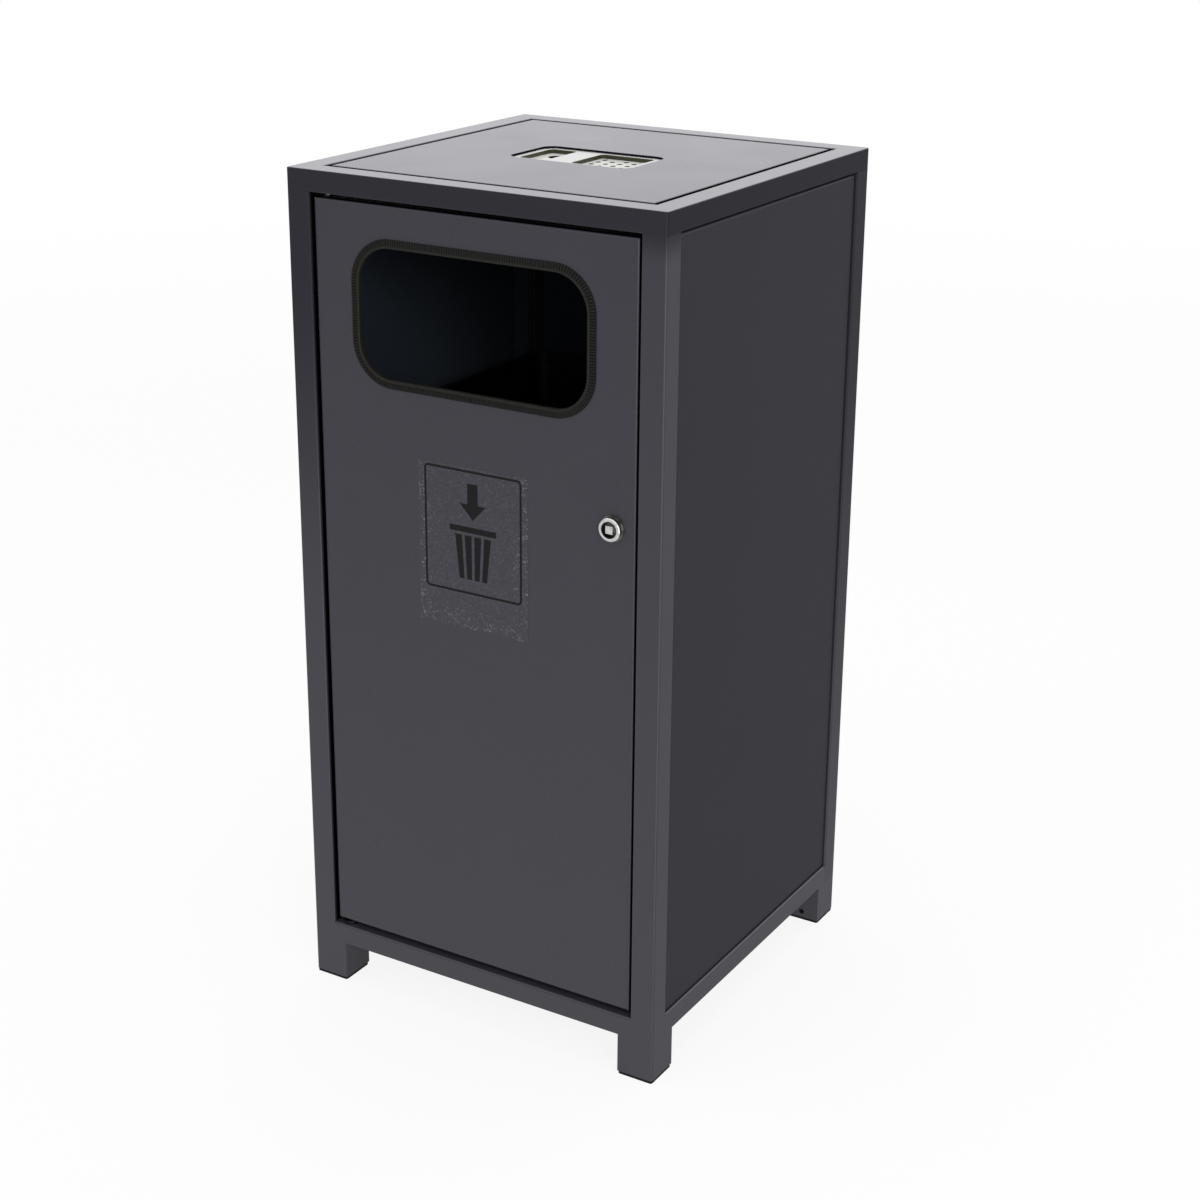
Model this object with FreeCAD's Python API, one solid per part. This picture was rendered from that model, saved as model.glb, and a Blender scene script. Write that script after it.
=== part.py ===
import FreeCAD, Part
import math
import os

# Square outdoor litter bin: a welded tube frame on four feet, inset sheet panels, a hinged front door with
# a throw-in opening and a quarter-turn lock, a lift-out liner and an ashtray in the top.
# Millimetres. The origin is on the floor at the middle of the footprint, +Z up, and the door faces -Y.

# Frame
frame_width = 420.0
frame_depth = 420.0
frame_height = 877.0
post_size = 26.0
rail_height = 22.0
tube_wall = 2.0
outer_corner_radius = 2.5
top_edge_radius = 1.0
inner_edge_radius = 2.0

# Feet
foot_size = 40.0
foot_height = 45.0
foot_wall = 2.5
foot_corner_radius = 2.5
foot_weld = 4.0
cap_flange = 3.0
cap_plug_length = 14.0
cap_play = 0.1
cap_margin = 0.4
foot_hole_radius = 3.0
foot_hole_height = 10.0

# Sheet panels
sheet = 1.5
bend_inside = 1.0
panel_recess = 2.5
panel_gap = 0.5
panel_gap_top = 2.0
panel_flange = 20.0
top_gap = 4.0
top_recess = 0.1
top_flange = 15.0
floor_sheet = 2.0
floor_gap = 0.5

# Blind rivets
rivet_radius = 2.0
rivet_play = 0.05
rivet_head_radius = 4.0
rivet_head_height = 1.4
rivet_blind_radius = 3.0
rivet_blind_length = 3.0
rivet_end_margin = 60.0
rivets_per_flange = 4
top_rivet_spacing = 220.0
top_rivet_drop = 9.0

# Door
door_gap_side = 3.0
door_gap_bottom = 5.0
door_gap_top = 4.0
door_recess = 3.0
door_bend_inside = 2.5
door_depth = 18.0
door_lip = 14.0

# Throw-in opening and its edge trim
opening_width = 260.0
opening_height = 132.0
opening_radius = 38.0
opening_drop = 105.0
trim_leg = 7.0
trim_web = 2.0
trim_face = 2.5
trim_play = 0.05

# Label on the door
label_width = 126.0
label_height = 166.0
label_film = 0.2
label_drop = 325.0

# Hinge
hinge_inset = 12.0
hinge_setback = 8.5
pin_radius = 3.0
pin_running = 0.05
pin_fixed_play = 0.03
pin_reach = 10.0
pin_head_radius = 6.0
pin_head_height = 3.0
bush_wall = 1.4
bush_seat_play = 0.03
bush_flange_radius = 5.2
bush_flange = 1.5
bush_length = 8.0
washer_radius = 8.0

# Quarter-turn lock
lock_inset = 25.0
lock_drop = 274.0
bezel_radius = 12.6
bezel_base = 1.2
ring_radius = 11.4
ring_height = 7.0
ring_chamfer = 0.8
body_radius = 9.0
body_play = 0.1
plug_radius = 7.4
plug_running = 0.05
plug_recess = 3.4
drive_square = 7.5
drive_below_ring = 0.4
nut_across_flats = 24.0
nut_height = 4.0
nut_sides = 6
tang_square = 7.0
tang_play = 0.05
cam_thickness = 2.5
cam_width = 16.0
cam_reach = 24.0
cam_tail = 8.0
cam_behind_strike = 0.6
cam_screw_radius = 2.5
cam_screw_depth = 8.0
cam_screw_play = 0.05
cam_screw_head_radius = 5.0
cam_screw_head_height = 3.0

# Strike bar and door buffers
strike_width = 14.0
strike_thickness = 3.0
strike_side_gap = 2.0
strike_lid_gap = 0.6
strike_floor_gap = 3.0
buffer_radius = 5.0
buffer_play = 0.2
buffer_end_margin = 90.0
sill_pad_radius = 4.0
sill_pad_play = 0.4
sill_pad_inset = 32.0

# Ashtray in the top panel
ash_width = 140.0
ash_depth = 80.0
ash_radius = 14.0
ash_play = 2.5
ash_sheet = 0.8
ash_sink = 1.5
ledge_width = 6.0
carrier_flange = 18.0
box_side_play = 1.0
box_height = 50.0
box_radius = 8.0
well_play = 0.5
well_depth = 5.0
well_radius = 6.0
well_bend = 1.5
well_lip = 0.6
bridge_width = 27.0
bridge_offset = -15.0
butt_hole_radius = 8.5
butt_hole_spacing = 30.0
ash_hole_radius = 3.0
ash_hole_pitch_x = 12.5
ash_hole_pitch_y = 13.0
ash_hole_columns = 5
ash_hole_rows = 5

# Liner and its bail
liner_width = 310.0
liner_depth = 310.0
liner_height = 578.0
liner_wall = 1.0
liner_radius = 14.0
liner_rim_out = 4.0
liner_rim_height = 8.0
ear_width = 34.0
ear_height = 38.0
ear_thickness = 3.0
pivot_drop = 26.0
ear_rivet_radius = 2.5
ear_rivet_spacing = 20.0
ear_rivet_drop = 12.0
ear_rivet_head_radius = 4.5
ear_rivet_head_height = 1.5
wire_radius = 3.0
wire_running = 0.08
wire_inside = 3.0
wire_ear_gap = 0.5
wire_pivot_bend = 5.0
wire_corner_bend = 20.0
bail_drop = 46.5
bail_rest_gap = 0.3

# Modelling values: how far a cutting body runs past a face, and when two lengths count as the same
overcut = 1.0
same_length = 1e-6

# Values worked out from the sizes above
V = FreeCAD.Vector
half_w = frame_width / 2
half_d = frame_depth / 2
bay_x = half_w - post_size
bay_y = half_d - post_size
sill = foot_height + rail_height
head = frame_height - rail_height
rivet_setback = panel_recess + panel_flange / 2

door_half = bay_x - door_gap_side
door_bottom = sill + door_gap_bottom
door_top = head - door_gap_top
door_height = door_top - door_bottom
door_face = -half_d + door_recess
door_back = door_face + door_depth
opening_z = door_top - opening_drop
label_z = door_top - label_drop
hinge_x = -door_half + hinge_inset
hinge_y = door_face + hinge_setback
lock_x = door_half - lock_inset
lock_z = door_top - lock_drop

rail_back = -half_d + post_size
strike_right = bay_x - strike_side_gap
strike_left = strike_right - strike_width
strike_back = rail_back + strike_thickness
cam_front = strike_back + cam_behind_strike
ring_front = door_face - ring_height
plug_face = ring_front + plug_recess

top_face = frame_height - top_recess
top_under = top_face - sheet
ledge_top = top_face - ash_sink - 2 * ash_sheet
insert_top = top_face - ash_sink
ledge_half_x = ash_width / 2 - ledge_width
ledge_half_y = ash_depth / 2 - ledge_width
ledge_radius = ash_radius - ledge_width
box_half_x = ledge_half_x - box_side_play
box_half_y = ledge_half_y - box_side_play
well_half_x = box_half_x - ash_sheet - well_play
well_half_y = box_half_y - ash_sheet - well_play
bridge_left = bridge_offset - bridge_width / 2
bridge_right = bridge_offset + bridge_width / 2

floor_top = foot_height + floor_sheet
liner_rim = floor_top + liner_height
pivot_z = liner_rim - pivot_drop
arm_x = liner_width / 2 + ear_thickness + wire_ear_gap + wire_pivot_bend
bail_rest_y = liner_depth / 2 + wire_radius + bail_rest_gap
bail_length = math.hypot(bail_rest_y, bail_drop)
bail_rest_angle = math.degrees(math.atan2(bail_drop, bail_rest_y))

side_turn = {"front": 0, "right": 90, "rear": 180, "left": 270}
panel_sides = ("right", "rear", "left")
corner_signs = {
    "front_left": (-1, -1),
    "front_right": (1, -1),
    "rear_left": (-1, 1),
    "rear_right": (1, 1),
}


def block(x0, y0, z0, x1, y1, z1):
    """A box between two corners, given in any order."""
    low = V(min(x0, x1), min(y0, y1), min(z0, z1))
    return Part.makeBox(abs(x1 - x0), abs(y1 - y0), abs(z1 - z0), low)


def rod(radius, start, end):
    """A round bar from one point to another."""
    run = end - start
    return Part.makeCylinder(radius, run.Length, start, run)


def edges_at(shape, test):
    """The edges whose middle point passes a test."""
    return [edge for edge in shape.Edges if test(edge.CenterOfMass)]


def near(a, b):
    """True where two lengths are the same."""
    return abs(a - b) < same_length


def rounded_prism(half_x, half_y, radius, z0, z1, centre_x=0.0):
    """An upright prism on a rectangle with round corners."""
    body = block(centre_x - half_x, -half_y, z0, centre_x + half_x, half_y, z1)
    middle = (z0 + z1) / 2
    uprights = edges_at(body, lambda p: near(p.z, middle) and near(abs(p.x - centre_x), half_x)
                        and near(abs(p.y), half_y))
    return body.makeFillet(radius, uprights)


def rounded_window(half_x, half_z, radius, y0, y1, centre_z):
    """A rectangle with round corners, facing along Y."""
    body = rounded_prism(half_x, half_z, radius, y0, y1)
    body.rotate(V(0, 0, 0), V(1, 0, 0), -90)
    body.translate(V(0, 0, centre_z))
    return body


def tray(width, height, depth, inside_radius):
    """A folded sheet tray: its face on y = 0, its flanges reaching back to y = depth, its foot on z = 0."""
    outer = block(-width / 2, 0, 0, width / 2, depth, height)
    outer = outer.makeFillet(inside_radius + sheet, edges_at(outer, lambda p: near(p.y, 0)))
    inner = block(-width / 2 + sheet, sheet, sheet, width / 2 - sheet, depth + sheet, height - sheet)
    inner = inner.makeFillet(inside_radius, edges_at(inner, lambda p: near(p.y, sheet)))
    return outer.cut(inner)


def turned(shape, side):
    """A piece made for the front, turned to another side of the bin."""
    copy = shape.copy()
    copy.rotate(V(0, 0, 0), V(0, 0, 1), side_turn[side])
    return copy


def side_sizes(side):
    """Half the clear span of a side, and its distance from the middle."""
    if side in ("front", "rear"):
        return bay_x, half_d
    return bay_y, half_w


def rivet(at, inward, gap):
    """A blind rivet through a tube wall, a gap and a flange. The point is on the tube's outer face."""
    head_start = at + inward * (gap + sheet)
    shank = rod(rivet_radius, at - inward * tube_wall, head_start)
    dome = Part.makeCone(rivet_head_radius, rivet_radius, rivet_head_height, head_start, inward)
    blind = rod(rivet_blind_radius, at - inward * (tube_wall + rivet_blind_length), at - inward * tube_wall)
    return shank.fuse([dome, blind]).removeSplitter()


def rivet_drill(at, inward, gap):
    """The hole that a rivet goes through."""
    start = at - inward * (tube_wall + overcut)
    end = at + inward * (gap + sheet + overcut)
    return rod(rivet_radius + rivet_play, start, end)


def panel_rivet_places(side):
    """The points and directions of the rivets of one side's panel."""
    span, distance = side_sizes(side)
    low = sill + rivet_end_margin
    step = (head - rivet_end_margin - low) / (rivets_per_flange - 1)
    turn = FreeCAD.Rotation(V(0, 0, 1), side_turn[side])
    places = []
    for sign in (-1, 1):
        for index in range(rivets_per_flange):
            at = V(sign * span, -distance + rivet_setback, low + index * step)
            places.append((turn.multVec(at), turn.multVec(V(-sign, 0, 0))))
    return places


def top_rivet_places():
    """The points and directions of the rivets that hold the top panel in its ring."""
    places = []
    for sign in (-1, 1):
        for along in (-top_rivet_spacing / 2, top_rivet_spacing / 2):
            level = frame_height - top_rivet_drop
            places.append((V(along, sign * bay_y, level), V(0, -sign, 0)))
            places.append((V(sign * bay_x, along, level), V(-sign, 0, 0)))
    return places


def drills(places, gap):
    """All the holes of a set of rivets, as one shape."""
    return Part.makeCompound([rivet_drill(at, inward, gap) for at, inward in places])


def rivets(places, gap):
    """A set of rivets, as separate solids."""
    return Part.makeCompound([rivet(at, inward, gap) for at, inward in places])


def round_over(x, y, into_x, into_y, radius, z0, z1):
    """What a rounding takes off an upright edge. The signs point from the edge into the material."""
    corner = block(x, y, z0, x + into_x * radius, y + into_y * radius, z1)
    return corner.cut(rod(radius, V(x + into_x * radius, y + into_y * radius, z0),
                          V(x + into_x * radius, y + into_y * radius, z1)))


def post(sx, sy):
    """A corner post, from the feet to the top ring, with its inner edges rounded beside the panels."""
    x1, y1 = sx * half_w, sy * half_d
    x0, y0 = sx * bay_x, sy * bay_y
    body = block(x0, y0, foot_height, x1, y1, head)
    body = body.makeFillet(outer_corner_radius, edges_at(body, lambda p: near(p.x, x1) and near(p.y, y1)))
    body = body.cut(block(x0 + sx * tube_wall, y0 + sy * tube_wall, foot_height - overcut,
                          x1 - sx * tube_wall, y1 - sy * tube_wall, head + overcut))
    body = body.cut(round_over(x0, y1, sx, -sy, inner_edge_radius, sill, head))
    body = body.cut(round_over(x1, y0, -sx, sy, inner_edge_radius, sill, head))
    for side in panel_sides:
        body = body.cut(drills(panel_rivet_places(side), panel_gap))
    return body


def top_ring():
    """The mitred tube ring round the top, before it is cut into its four rails."""
    ring = block(-half_w, -half_d, head, half_w, half_d, frame_height)
    corners = edges_at(ring, lambda p: near(abs(p.x), half_w) and near(abs(p.y), half_d))
    ring = ring.makeFillet(outer_corner_radius, corners)
    rim = edges_at(ring, lambda p: near(p.z, frame_height))
    ring = ring.makeFillet(top_edge_radius, rim)
    ring = ring.cut(block(-bay_x, -bay_y, head - overcut, bay_x, bay_y, frame_height + overcut))
    inner_rim = edges_at(ring, lambda p: near(p.z, frame_height) and abs(p.x) <= bay_x and abs(p.y) <= bay_y)
    ring = ring.makeFillet(inner_edge_radius, inner_rim)
    hollow = block(-half_w + tube_wall, -half_d + tube_wall, head + tube_wall,
                   half_w - tube_wall, half_d - tube_wall, frame_height - tube_wall)
    core = block(-bay_x - tube_wall, -bay_y - tube_wall, head,
                 bay_x + tube_wall, bay_y + tube_wall, frame_height)
    ring = ring.cut(hollow.cut(core))
    ring = ring.cut(drills(top_rivet_places(), top_gap))
    return ring.cut(upper_pin_hole())


def top_rail(ring, side):
    """One rail of the top ring, between its two mitres."""
    reach = 2 * max(half_w, half_d)
    skew = half_w / half_d if side in ("front", "rear") else half_d / half_w
    middle = V(0, 0, 0)
    wedge = Part.makePolygon([middle, V(-reach * skew, -reach, 0), V(reach * skew, -reach, 0), middle])
    prism = Part.Face(wedge).extrude(V(0, 0, frame_height + overcut))
    return ring.common(turned(prism, side)).cut(head_round_over(side))


def head_round_over(side):
    """What a rounding takes off the lower outside edge of a top rail, between the posts."""
    span, distance = side_sizes(side)
    y = -distance + inner_edge_radius
    z = head + inner_edge_radius
    edge = block(-span, -distance, head, span, y, z)
    return turned(edge.cut(rod(inner_edge_radius, V(-span, y, z), V(span, y, z))), side)


def bottom_rail(side):
    """A bottom rail between two posts, with its upper outside edge rounded."""
    span, distance = side_sizes(side)
    face = -distance
    rail = block(-span, face, foot_height, span, face + post_size, sill)
    rail = rail.makeFillet(inner_edge_radius, edges_at(rail, lambda p: near(p.y, face) and near(p.z, sill)))
    rail = rail.cut(block(-span - overcut, face + tube_wall, foot_height + tube_wall,
                          span + overcut, face + post_size - tube_wall, sill - tube_wall))
    rail = turned(rail, side)
    if side == "front":
        rail = rail.cut(lower_pin_hole())
    return rail


def foot(sx, sy):
    """A short square tube under a corner of the frame, with a hole in the wall that faces along Y."""
    x1, y1 = sx * half_w, sy * half_d
    x0, y0 = x1 - sx * foot_size, y1 - sy * foot_size
    body = block(x0, y0, cap_flange, x1, y1, foot_height)
    uprights = edges_at(body, lambda p: near(p.x, x1) and near(p.y, y1))
    body = body.makeFillet(foot_corner_radius, uprights)
    body = body.cut(block(x0 + sx * foot_wall, y0 + sy * foot_wall, 0,
                          x1 - sx * foot_wall, y1 - sy * foot_wall, foot_height + overcut))
    middle = (x0 + x1) / 2
    body = body.cut(rod(foot_hole_radius, V(middle, y0 - sy * overcut, foot_hole_height),
                        V(middle, y0 + sy * (foot_wall + overcut), foot_hole_height)))
    welds = [foot_weld_along_y(x0, sx, y1, sy), foot_weld_along_x(y0, sy, x1, sx)]
    return body.fuse(welds).removeSplitter()


def foot_weld_along_y(x0, sx, y1, sy):
    """The hollow weld fillet between a foot's inner side and the rail that crosses it along X."""
    low = foot_height - foot_weld
    inner = x0 - sx * foot_weld
    bead = block(inner, y1 - sy * outer_corner_radius, low, x0, y1 - sy * post_size, foot_height)
    hollow = rod(foot_weld, V(inner, y1 + sy * overcut, low), V(inner, y1 - sy * (post_size + overcut), low))
    return bead.cut(hollow)


def foot_weld_along_x(y0, sy, x1, sx):
    """The hollow weld fillet between a foot's inner side and the rail that crosses it along Y."""
    low = foot_height - foot_weld
    inner = y0 - sy * foot_weld
    bead = block(x1 - sx * outer_corner_radius, inner, low, x1 - sx * post_size, y0, foot_height)
    hollow = rod(foot_weld, V(x1 + sx * overcut, inner, low), V(x1 - sx * (post_size + overcut), inner, low))
    return bead.cut(hollow)


def foot_cap(sx, sy):
    """A plastic cap: a flange under the foot and a plug up inside it."""
    middle = V(sx * (half_w - foot_size / 2), sy * (half_d - foot_size / 2), 0)
    edge = foot_size / 2 - cap_margin
    plug = foot_size / 2 - foot_wall - cap_play
    flange = rounded_prism(edge, edge, foot_corner_radius, 0, cap_flange)
    cap = flange.fuse(block(-plug, -plug, cap_flange, plug, plug, cap_flange + cap_plug_length))
    cap = cap.removeSplitter()
    cap.translate(middle)
    return cap


def side_panel(side):
    """A side or rear panel: a tray set into the frame, riveted through its upright flanges."""
    span, distance = side_sizes(side)
    panel = tray(2 * (span - panel_gap), head - sill - panel_gap - panel_gap_top, panel_flange, bend_inside)
    panel.translate(V(0, -distance + panel_recess, sill + panel_gap))
    return turned(panel, side).cut(drills(panel_rivet_places(side), panel_gap))


def ash_prism(inset, z0, z1):
    """A prism on the ashtray's outline, drawn in by an inset."""
    return rounded_prism(ash_width / 2 - inset, ash_depth / 2 - inset, ash_radius - inset, z0, z1)


def top_panel():
    """The lid sheet inside the top ring, with the ashtray's cut-out."""
    width = 2 * (bay_x - top_gap)
    depth = 2 * (bay_y - top_gap)
    panel = tray(width, depth, top_flange, bend_inside)
    panel.translate(V(0, 0, -depth / 2))
    panel.rotate(V(0, 0, 0), V(1, 0, 0), -90)
    panel.translate(V(0, 0, top_face))
    panel = panel.cut(ash_prism(0, top_under - overcut, top_face + overcut))
    return panel.cut(drills(top_rivet_places(), top_gap))


def ashtray_carrier():
    """A frame welded under the top panel: a flange, a short wall and the ledge that the ashtray sits on."""
    ledge_under = ledge_top - sheet
    flange = ash_prism(-carrier_flange, top_under - sheet, top_under)
    wall = ash_prism(-sheet, ledge_under, top_under)
    body = flange.fuse(wall).removeSplitter()
    body = body.cut(ash_prism(0, ledge_top, top_under + overcut))
    hole = rounded_prism(ledge_half_x, ledge_half_y, ledge_radius, ledge_under - overcut, top_under)
    return body.cut(hole)


def ash_box():
    """The ash box: a deep tray that hangs by its rim on the carrier's ledge."""
    bottom = ledge_top - box_height
    rim = ash_prism(ash_play, ledge_top, ledge_top + ash_sheet)
    body = rounded_prism(box_half_x, box_half_y, box_radius, bottom, ledge_top + ash_sheet)
    inside = rounded_prism(box_half_x - ash_sheet, box_half_y - ash_sheet, box_radius - ash_sheet,
                           bottom + ash_sheet, ledge_top + 2 * ash_sheet)
    return rim.fuse(body).removeSplitter().cut(inside)


def well(x0, x1):
    """The outside and the inside of a pressed well between two places along X."""
    middle = (x0 + x1) / 2
    half = (x1 - x0) / 2
    floor = insert_top - well_depth
    under = floor - ash_sheet
    outer = rounded_prism(half, well_half_y, well_radius, under, insert_top, middle)
    outer = outer.makeFillet(well_bend + ash_sheet, edges_at(outer, lambda p: near(p.z, under)))
    inner = rounded_prism(half - ash_sheet, well_half_y - ash_sheet, well_radius - ash_sheet, floor,
                          insert_top + overcut, middle)
    inner = inner.makeFillet(well_bend, edges_at(inner, lambda p: near(p.z, floor)))
    return outer, inner


def ash_holes():
    """The drillings of both wells: two large holes, and a staggered pattern of small ones."""
    z0 = insert_top - well_depth - 2 * ash_sheet
    z1 = insert_top
    left = (bridge_left - well_half_x) / 2
    right = (bridge_right + well_half_x) / 2
    holes = []
    for y in (-butt_hole_spacing / 2, butt_hole_spacing / 2):
        holes.append(rod(butt_hole_radius, V(left, y, z0), V(left, y, z1)))
    for column in range(ash_hole_columns):
        x = right + (column - (ash_hole_columns - 1) / 2) * ash_hole_pitch_x
        rows = ash_hole_rows - column % 2
        for row in range(rows):
            y = (row - (rows - 1) / 2) * ash_hole_pitch_y
            holes.append(rod(ash_hole_radius, V(x, y, z0), V(x, y, z1)))
    return Part.makeCompound(holes)


def ashtray_insert():
    """The pressed ashtray plate: a rim, two wells with round lips and the bridge between them."""
    plate = ash_prism(ash_play, insert_top - ash_sheet, insert_top)
    left_outer, left_inner = well(-well_half_x, bridge_left)
    right_outer, right_inner = well(bridge_right, well_half_x)
    body = plate.fuse([left_outer, right_outer]).removeSplitter().cut([left_inner, right_inner])
    lips = edges_at(body, lambda p: near(p.z, insert_top) and abs(p.x) < well_half_x and abs(p.y) < well_half_y)
    return body.makeFillet(well_lip, lips).cut(ash_holes())


def floor_panel():
    """The floor sheet, lying on the inner ledges of the four feet."""
    return block(-bay_x + floor_gap, -bay_y + floor_gap, foot_height,
                 bay_x - floor_gap, bay_y - floor_gap, floor_top)


def opening_prism(grow, y0, y1):
    """A prism on the throw-in opening's outline, grown all round."""
    return rounded_window(opening_width / 2 + grow, opening_height / 2 + grow, opening_radius + grow,
                          y0, y1, opening_z)


def door_skin():
    """The folded door tray with its lip, throw-in opening, lock hole and hinge holes."""
    skin = tray(2 * door_half, door_height, door_depth, door_bend_inside)
    skin.translate(V(0, door_face, door_bottom))
    lip = block(door_half - door_lip, door_back - sheet, door_bottom, door_half, door_back, door_top)
    skin = skin.fuse(lip).removeSplitter()
    front = door_face - overcut
    back = door_face + sheet + overcut
    skin = skin.cut(opening_prism(0, front, back))
    skin = skin.cut(rod(body_radius + body_play, lock_point(front), lock_point(back)))
    bush_hole = pin_radius + pin_running + bush_wall + bush_seat_play
    reach = sheet + overcut
    for z in (door_bottom, door_top):
        skin = skin.cut(rod(bush_hole, hinge_point(z - reach), hinge_point(z + reach)))
    return skin


def opening_trim():
    """The rubber edge trim: a U section gripping the edge of the opening."""
    front = door_face - trim_face
    back = door_face + sheet + trim_face
    body = opening_prism(trim_leg, front, back)
    body = body.cut(opening_prism(-trim_web, front - overcut, back + overcut))
    slot = opening_prism(trim_leg + overcut, door_face - trim_play, door_face + sheet + trim_play)
    return body.cut(slot.cut(opening_prism(-trim_play, front, back)))


def door_label():
    """A plain film label on the door's face."""
    return block(-label_width / 2, door_face - label_film, label_z - label_height / 2,
                 label_width / 2, door_face, label_z + label_height / 2)


def hinge_point(z):
    """A point on the hinge's axis."""
    return V(hinge_x, hinge_y, z)


def pin_hole(z0, z1):
    """A hole on the hinge's axis that holds a pin fast."""
    return rod(pin_radius + pin_fixed_play, hinge_point(z0), hinge_point(z1))


def upper_pin_hole():
    """The hole for the upper hinge pin in the top ring."""
    return pin_hole(head - overcut, head + tube_wall + overcut)


def lower_pin_hole():
    """The hole for the lower hinge pin in the front bottom rail."""
    return pin_hole(sill - tube_wall - overcut, sill + overcut)


def hinge_pin(wall_face, into_tube, door_edge):
    """A headed pin: its head inside the tube, its shank through the wall and into the door."""
    axis = V(0, 0, into_tube)
    seat = hinge_point(wall_face) + axis * tube_wall
    tip = hinge_point(door_edge) - axis * pin_reach
    head_disc = rod(pin_head_radius, seat, seat + axis * pin_head_height)
    return head_disc.fuse(rod(pin_radius, seat, tip)).removeSplitter()


def hinge_bush(door_edge, outward):
    """A flanged plastic bush in the door's end flange, running on the hinge pin."""
    axis = V(0, 0, outward)
    seat = hinge_point(door_edge)
    bore = pin_radius + pin_running
    sleeve = rod(bore + bush_wall, seat - axis * bush_length, seat)
    flange = rod(bush_flange_radius, seat, seat + axis * bush_flange)
    hole = rod(bore, seat - axis * (bush_length + overcut), seat + axis * (bush_flange + overcut))
    return sleeve.fuse(flange).removeSplitter().cut(hole)


def hinge_washer():
    """The steel washer between the sill and the lower bush."""
    base = hinge_point(sill)
    top = hinge_point(door_bottom - bush_flange)
    return rod(washer_radius, base, top).cut(rod(pin_radius + pin_running, base, top))


def strike_bar():
    """The upright bar behind the lock side of the door, welded to the top and bottom rails."""
    low = floor_top + strike_floor_gap
    high = top_face - top_flange - strike_lid_gap
    return block(strike_left, rail_back, low, strike_right, strike_back, high)


def door_buffers():
    """Rubber buffers on the strike bar, and a pad on the sill under the lock side."""
    x = (strike_left + strike_right) / 2
    heights = (door_bottom + buffer_end_margin, (door_bottom + door_top) / 2, door_top - buffer_end_margin)
    buffers = [rod(buffer_radius, V(x, door_back + buffer_play, z), V(x, rail_back, z)) for z in heights]
    pad = V(door_half - sill_pad_inset, hinge_y, sill)
    buffers.append(rod(sill_pad_radius, pad, pad + V(0, 0, door_gap_bottom - sill_pad_play)))
    return Part.makeCompound(buffers)


def lock_point(y):
    """A point on the lock's axis."""
    return V(lock_x, y, lock_z)


def lock_housing():
    """The chromed lock housing: a base flange, a raised ring and the body behind the door."""
    base = rod(bezel_radius, lock_point(door_face), lock_point(door_face - bezel_base))
    ring = rod(ring_radius, lock_point(door_face), lock_point(ring_front))
    ring = ring.makeChamfer(ring_chamfer, edges_at(ring, lambda p: near(p.y, ring_front)))
    body = rod(body_radius, lock_point(door_face), lock_point(cam_front))
    housing = base.fuse([ring, body]).removeSplitter()
    bore = plug_radius + plug_running
    return housing.cut(rod(bore, lock_point(ring_front - overcut), lock_point(cam_front + overcut)))


def lock_nut():
    """The hexagon nut that holds the housing to the door."""
    step = 2 * math.pi / nut_sides
    corner = nut_across_flats / 2 / math.cos(step / 2)
    seat = door_face + sheet
    points = []
    for index in range(nut_sides + 1):
        angle = step * index
        points.append(lock_point(seat) + V(corner * math.cos(angle), 0, corner * math.sin(angle)))
    hexagon = Part.Face(Part.makePolygon(points)).extrude(V(0, nut_height, 0))
    hole = rod(body_radius + body_play, lock_point(seat - overcut), lock_point(seat + nut_height + overcut))
    return hexagon.cut(hole)


def square_bar(side, y0, y1):
    """A square bar on the lock's axis."""
    return block(lock_x - side / 2, y0, lock_z - side / 2, lock_x + side / 2, y1, lock_z + side / 2)


def lock_plug():
    """The turning plug: a square drive in front, a square tang with a screw hole behind."""
    barrel = rod(plug_radius, lock_point(plug_face), lock_point(cam_front))
    drive = square_bar(drive_square, ring_front + drive_below_ring, plug_face)
    tang = square_bar(tang_square, cam_front, cam_front + cam_thickness)
    plug = barrel.fuse([drive, tang]).removeSplitter()
    end = cam_front + cam_thickness
    screw_hole = cam_screw_radius + cam_screw_play
    return plug.cut(rod(screw_hole, lock_point(end - cam_screw_depth), lock_point(end + overcut)))


def lock_cam():
    """The cam, hanging down from the plug's tang while the lock is open."""
    half = cam_width / 2
    cam_back = cam_front + cam_thickness
    cam = block(lock_x - half, cam_front, lock_z - cam_reach, lock_x + half, cam_back, lock_z + cam_tail)
    return cam.cut(square_bar(tang_square + 2 * tang_play, cam_front - overcut, cam_back + overcut))


def cam_screw():
    """The screw that holds the cam on the tang."""
    seat = cam_front + cam_thickness
    shank = rod(cam_screw_radius, lock_point(seat - cam_screw_depth), lock_point(seat))
    return shank.fuse(rod(cam_screw_head_radius, lock_point(seat),
                          lock_point(seat + cam_screw_head_height))).removeSplitter()


def liner_prism(grow, z0, z1):
    """A prism on the liner's outline, grown all round."""
    return rounded_prism(liner_width / 2 + grow, liner_depth / 2 + grow, liner_radius + grow, z0, z1)


def ear_rivet_places(sign):
    """The points of one ear's rivets on the outside of the liner's wall."""
    z = pivot_z - ear_rivet_drop
    return [V(sign * liner_width / 2, y, z) for y in (-ear_rivet_spacing / 2, ear_rivet_spacing / 2)]


def ear_holes(sign):
    """The holes for the bail and the rivets through one ear and the wall behind it."""
    x = sign * liner_width / 2
    reach = V(sign * (ear_thickness + overcut), 0, 0)
    depth = V(sign * (liner_wall + overcut), 0, 0)
    pivot = V(x, 0, pivot_z)
    holes = [rod(wire_radius + wire_running, pivot - depth, pivot + reach)]
    for at in ear_rivet_places(sign):
        holes.append(rod(ear_rivet_radius + rivet_play, at - depth, at + reach))
    return Part.makeCompound(holes)


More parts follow.
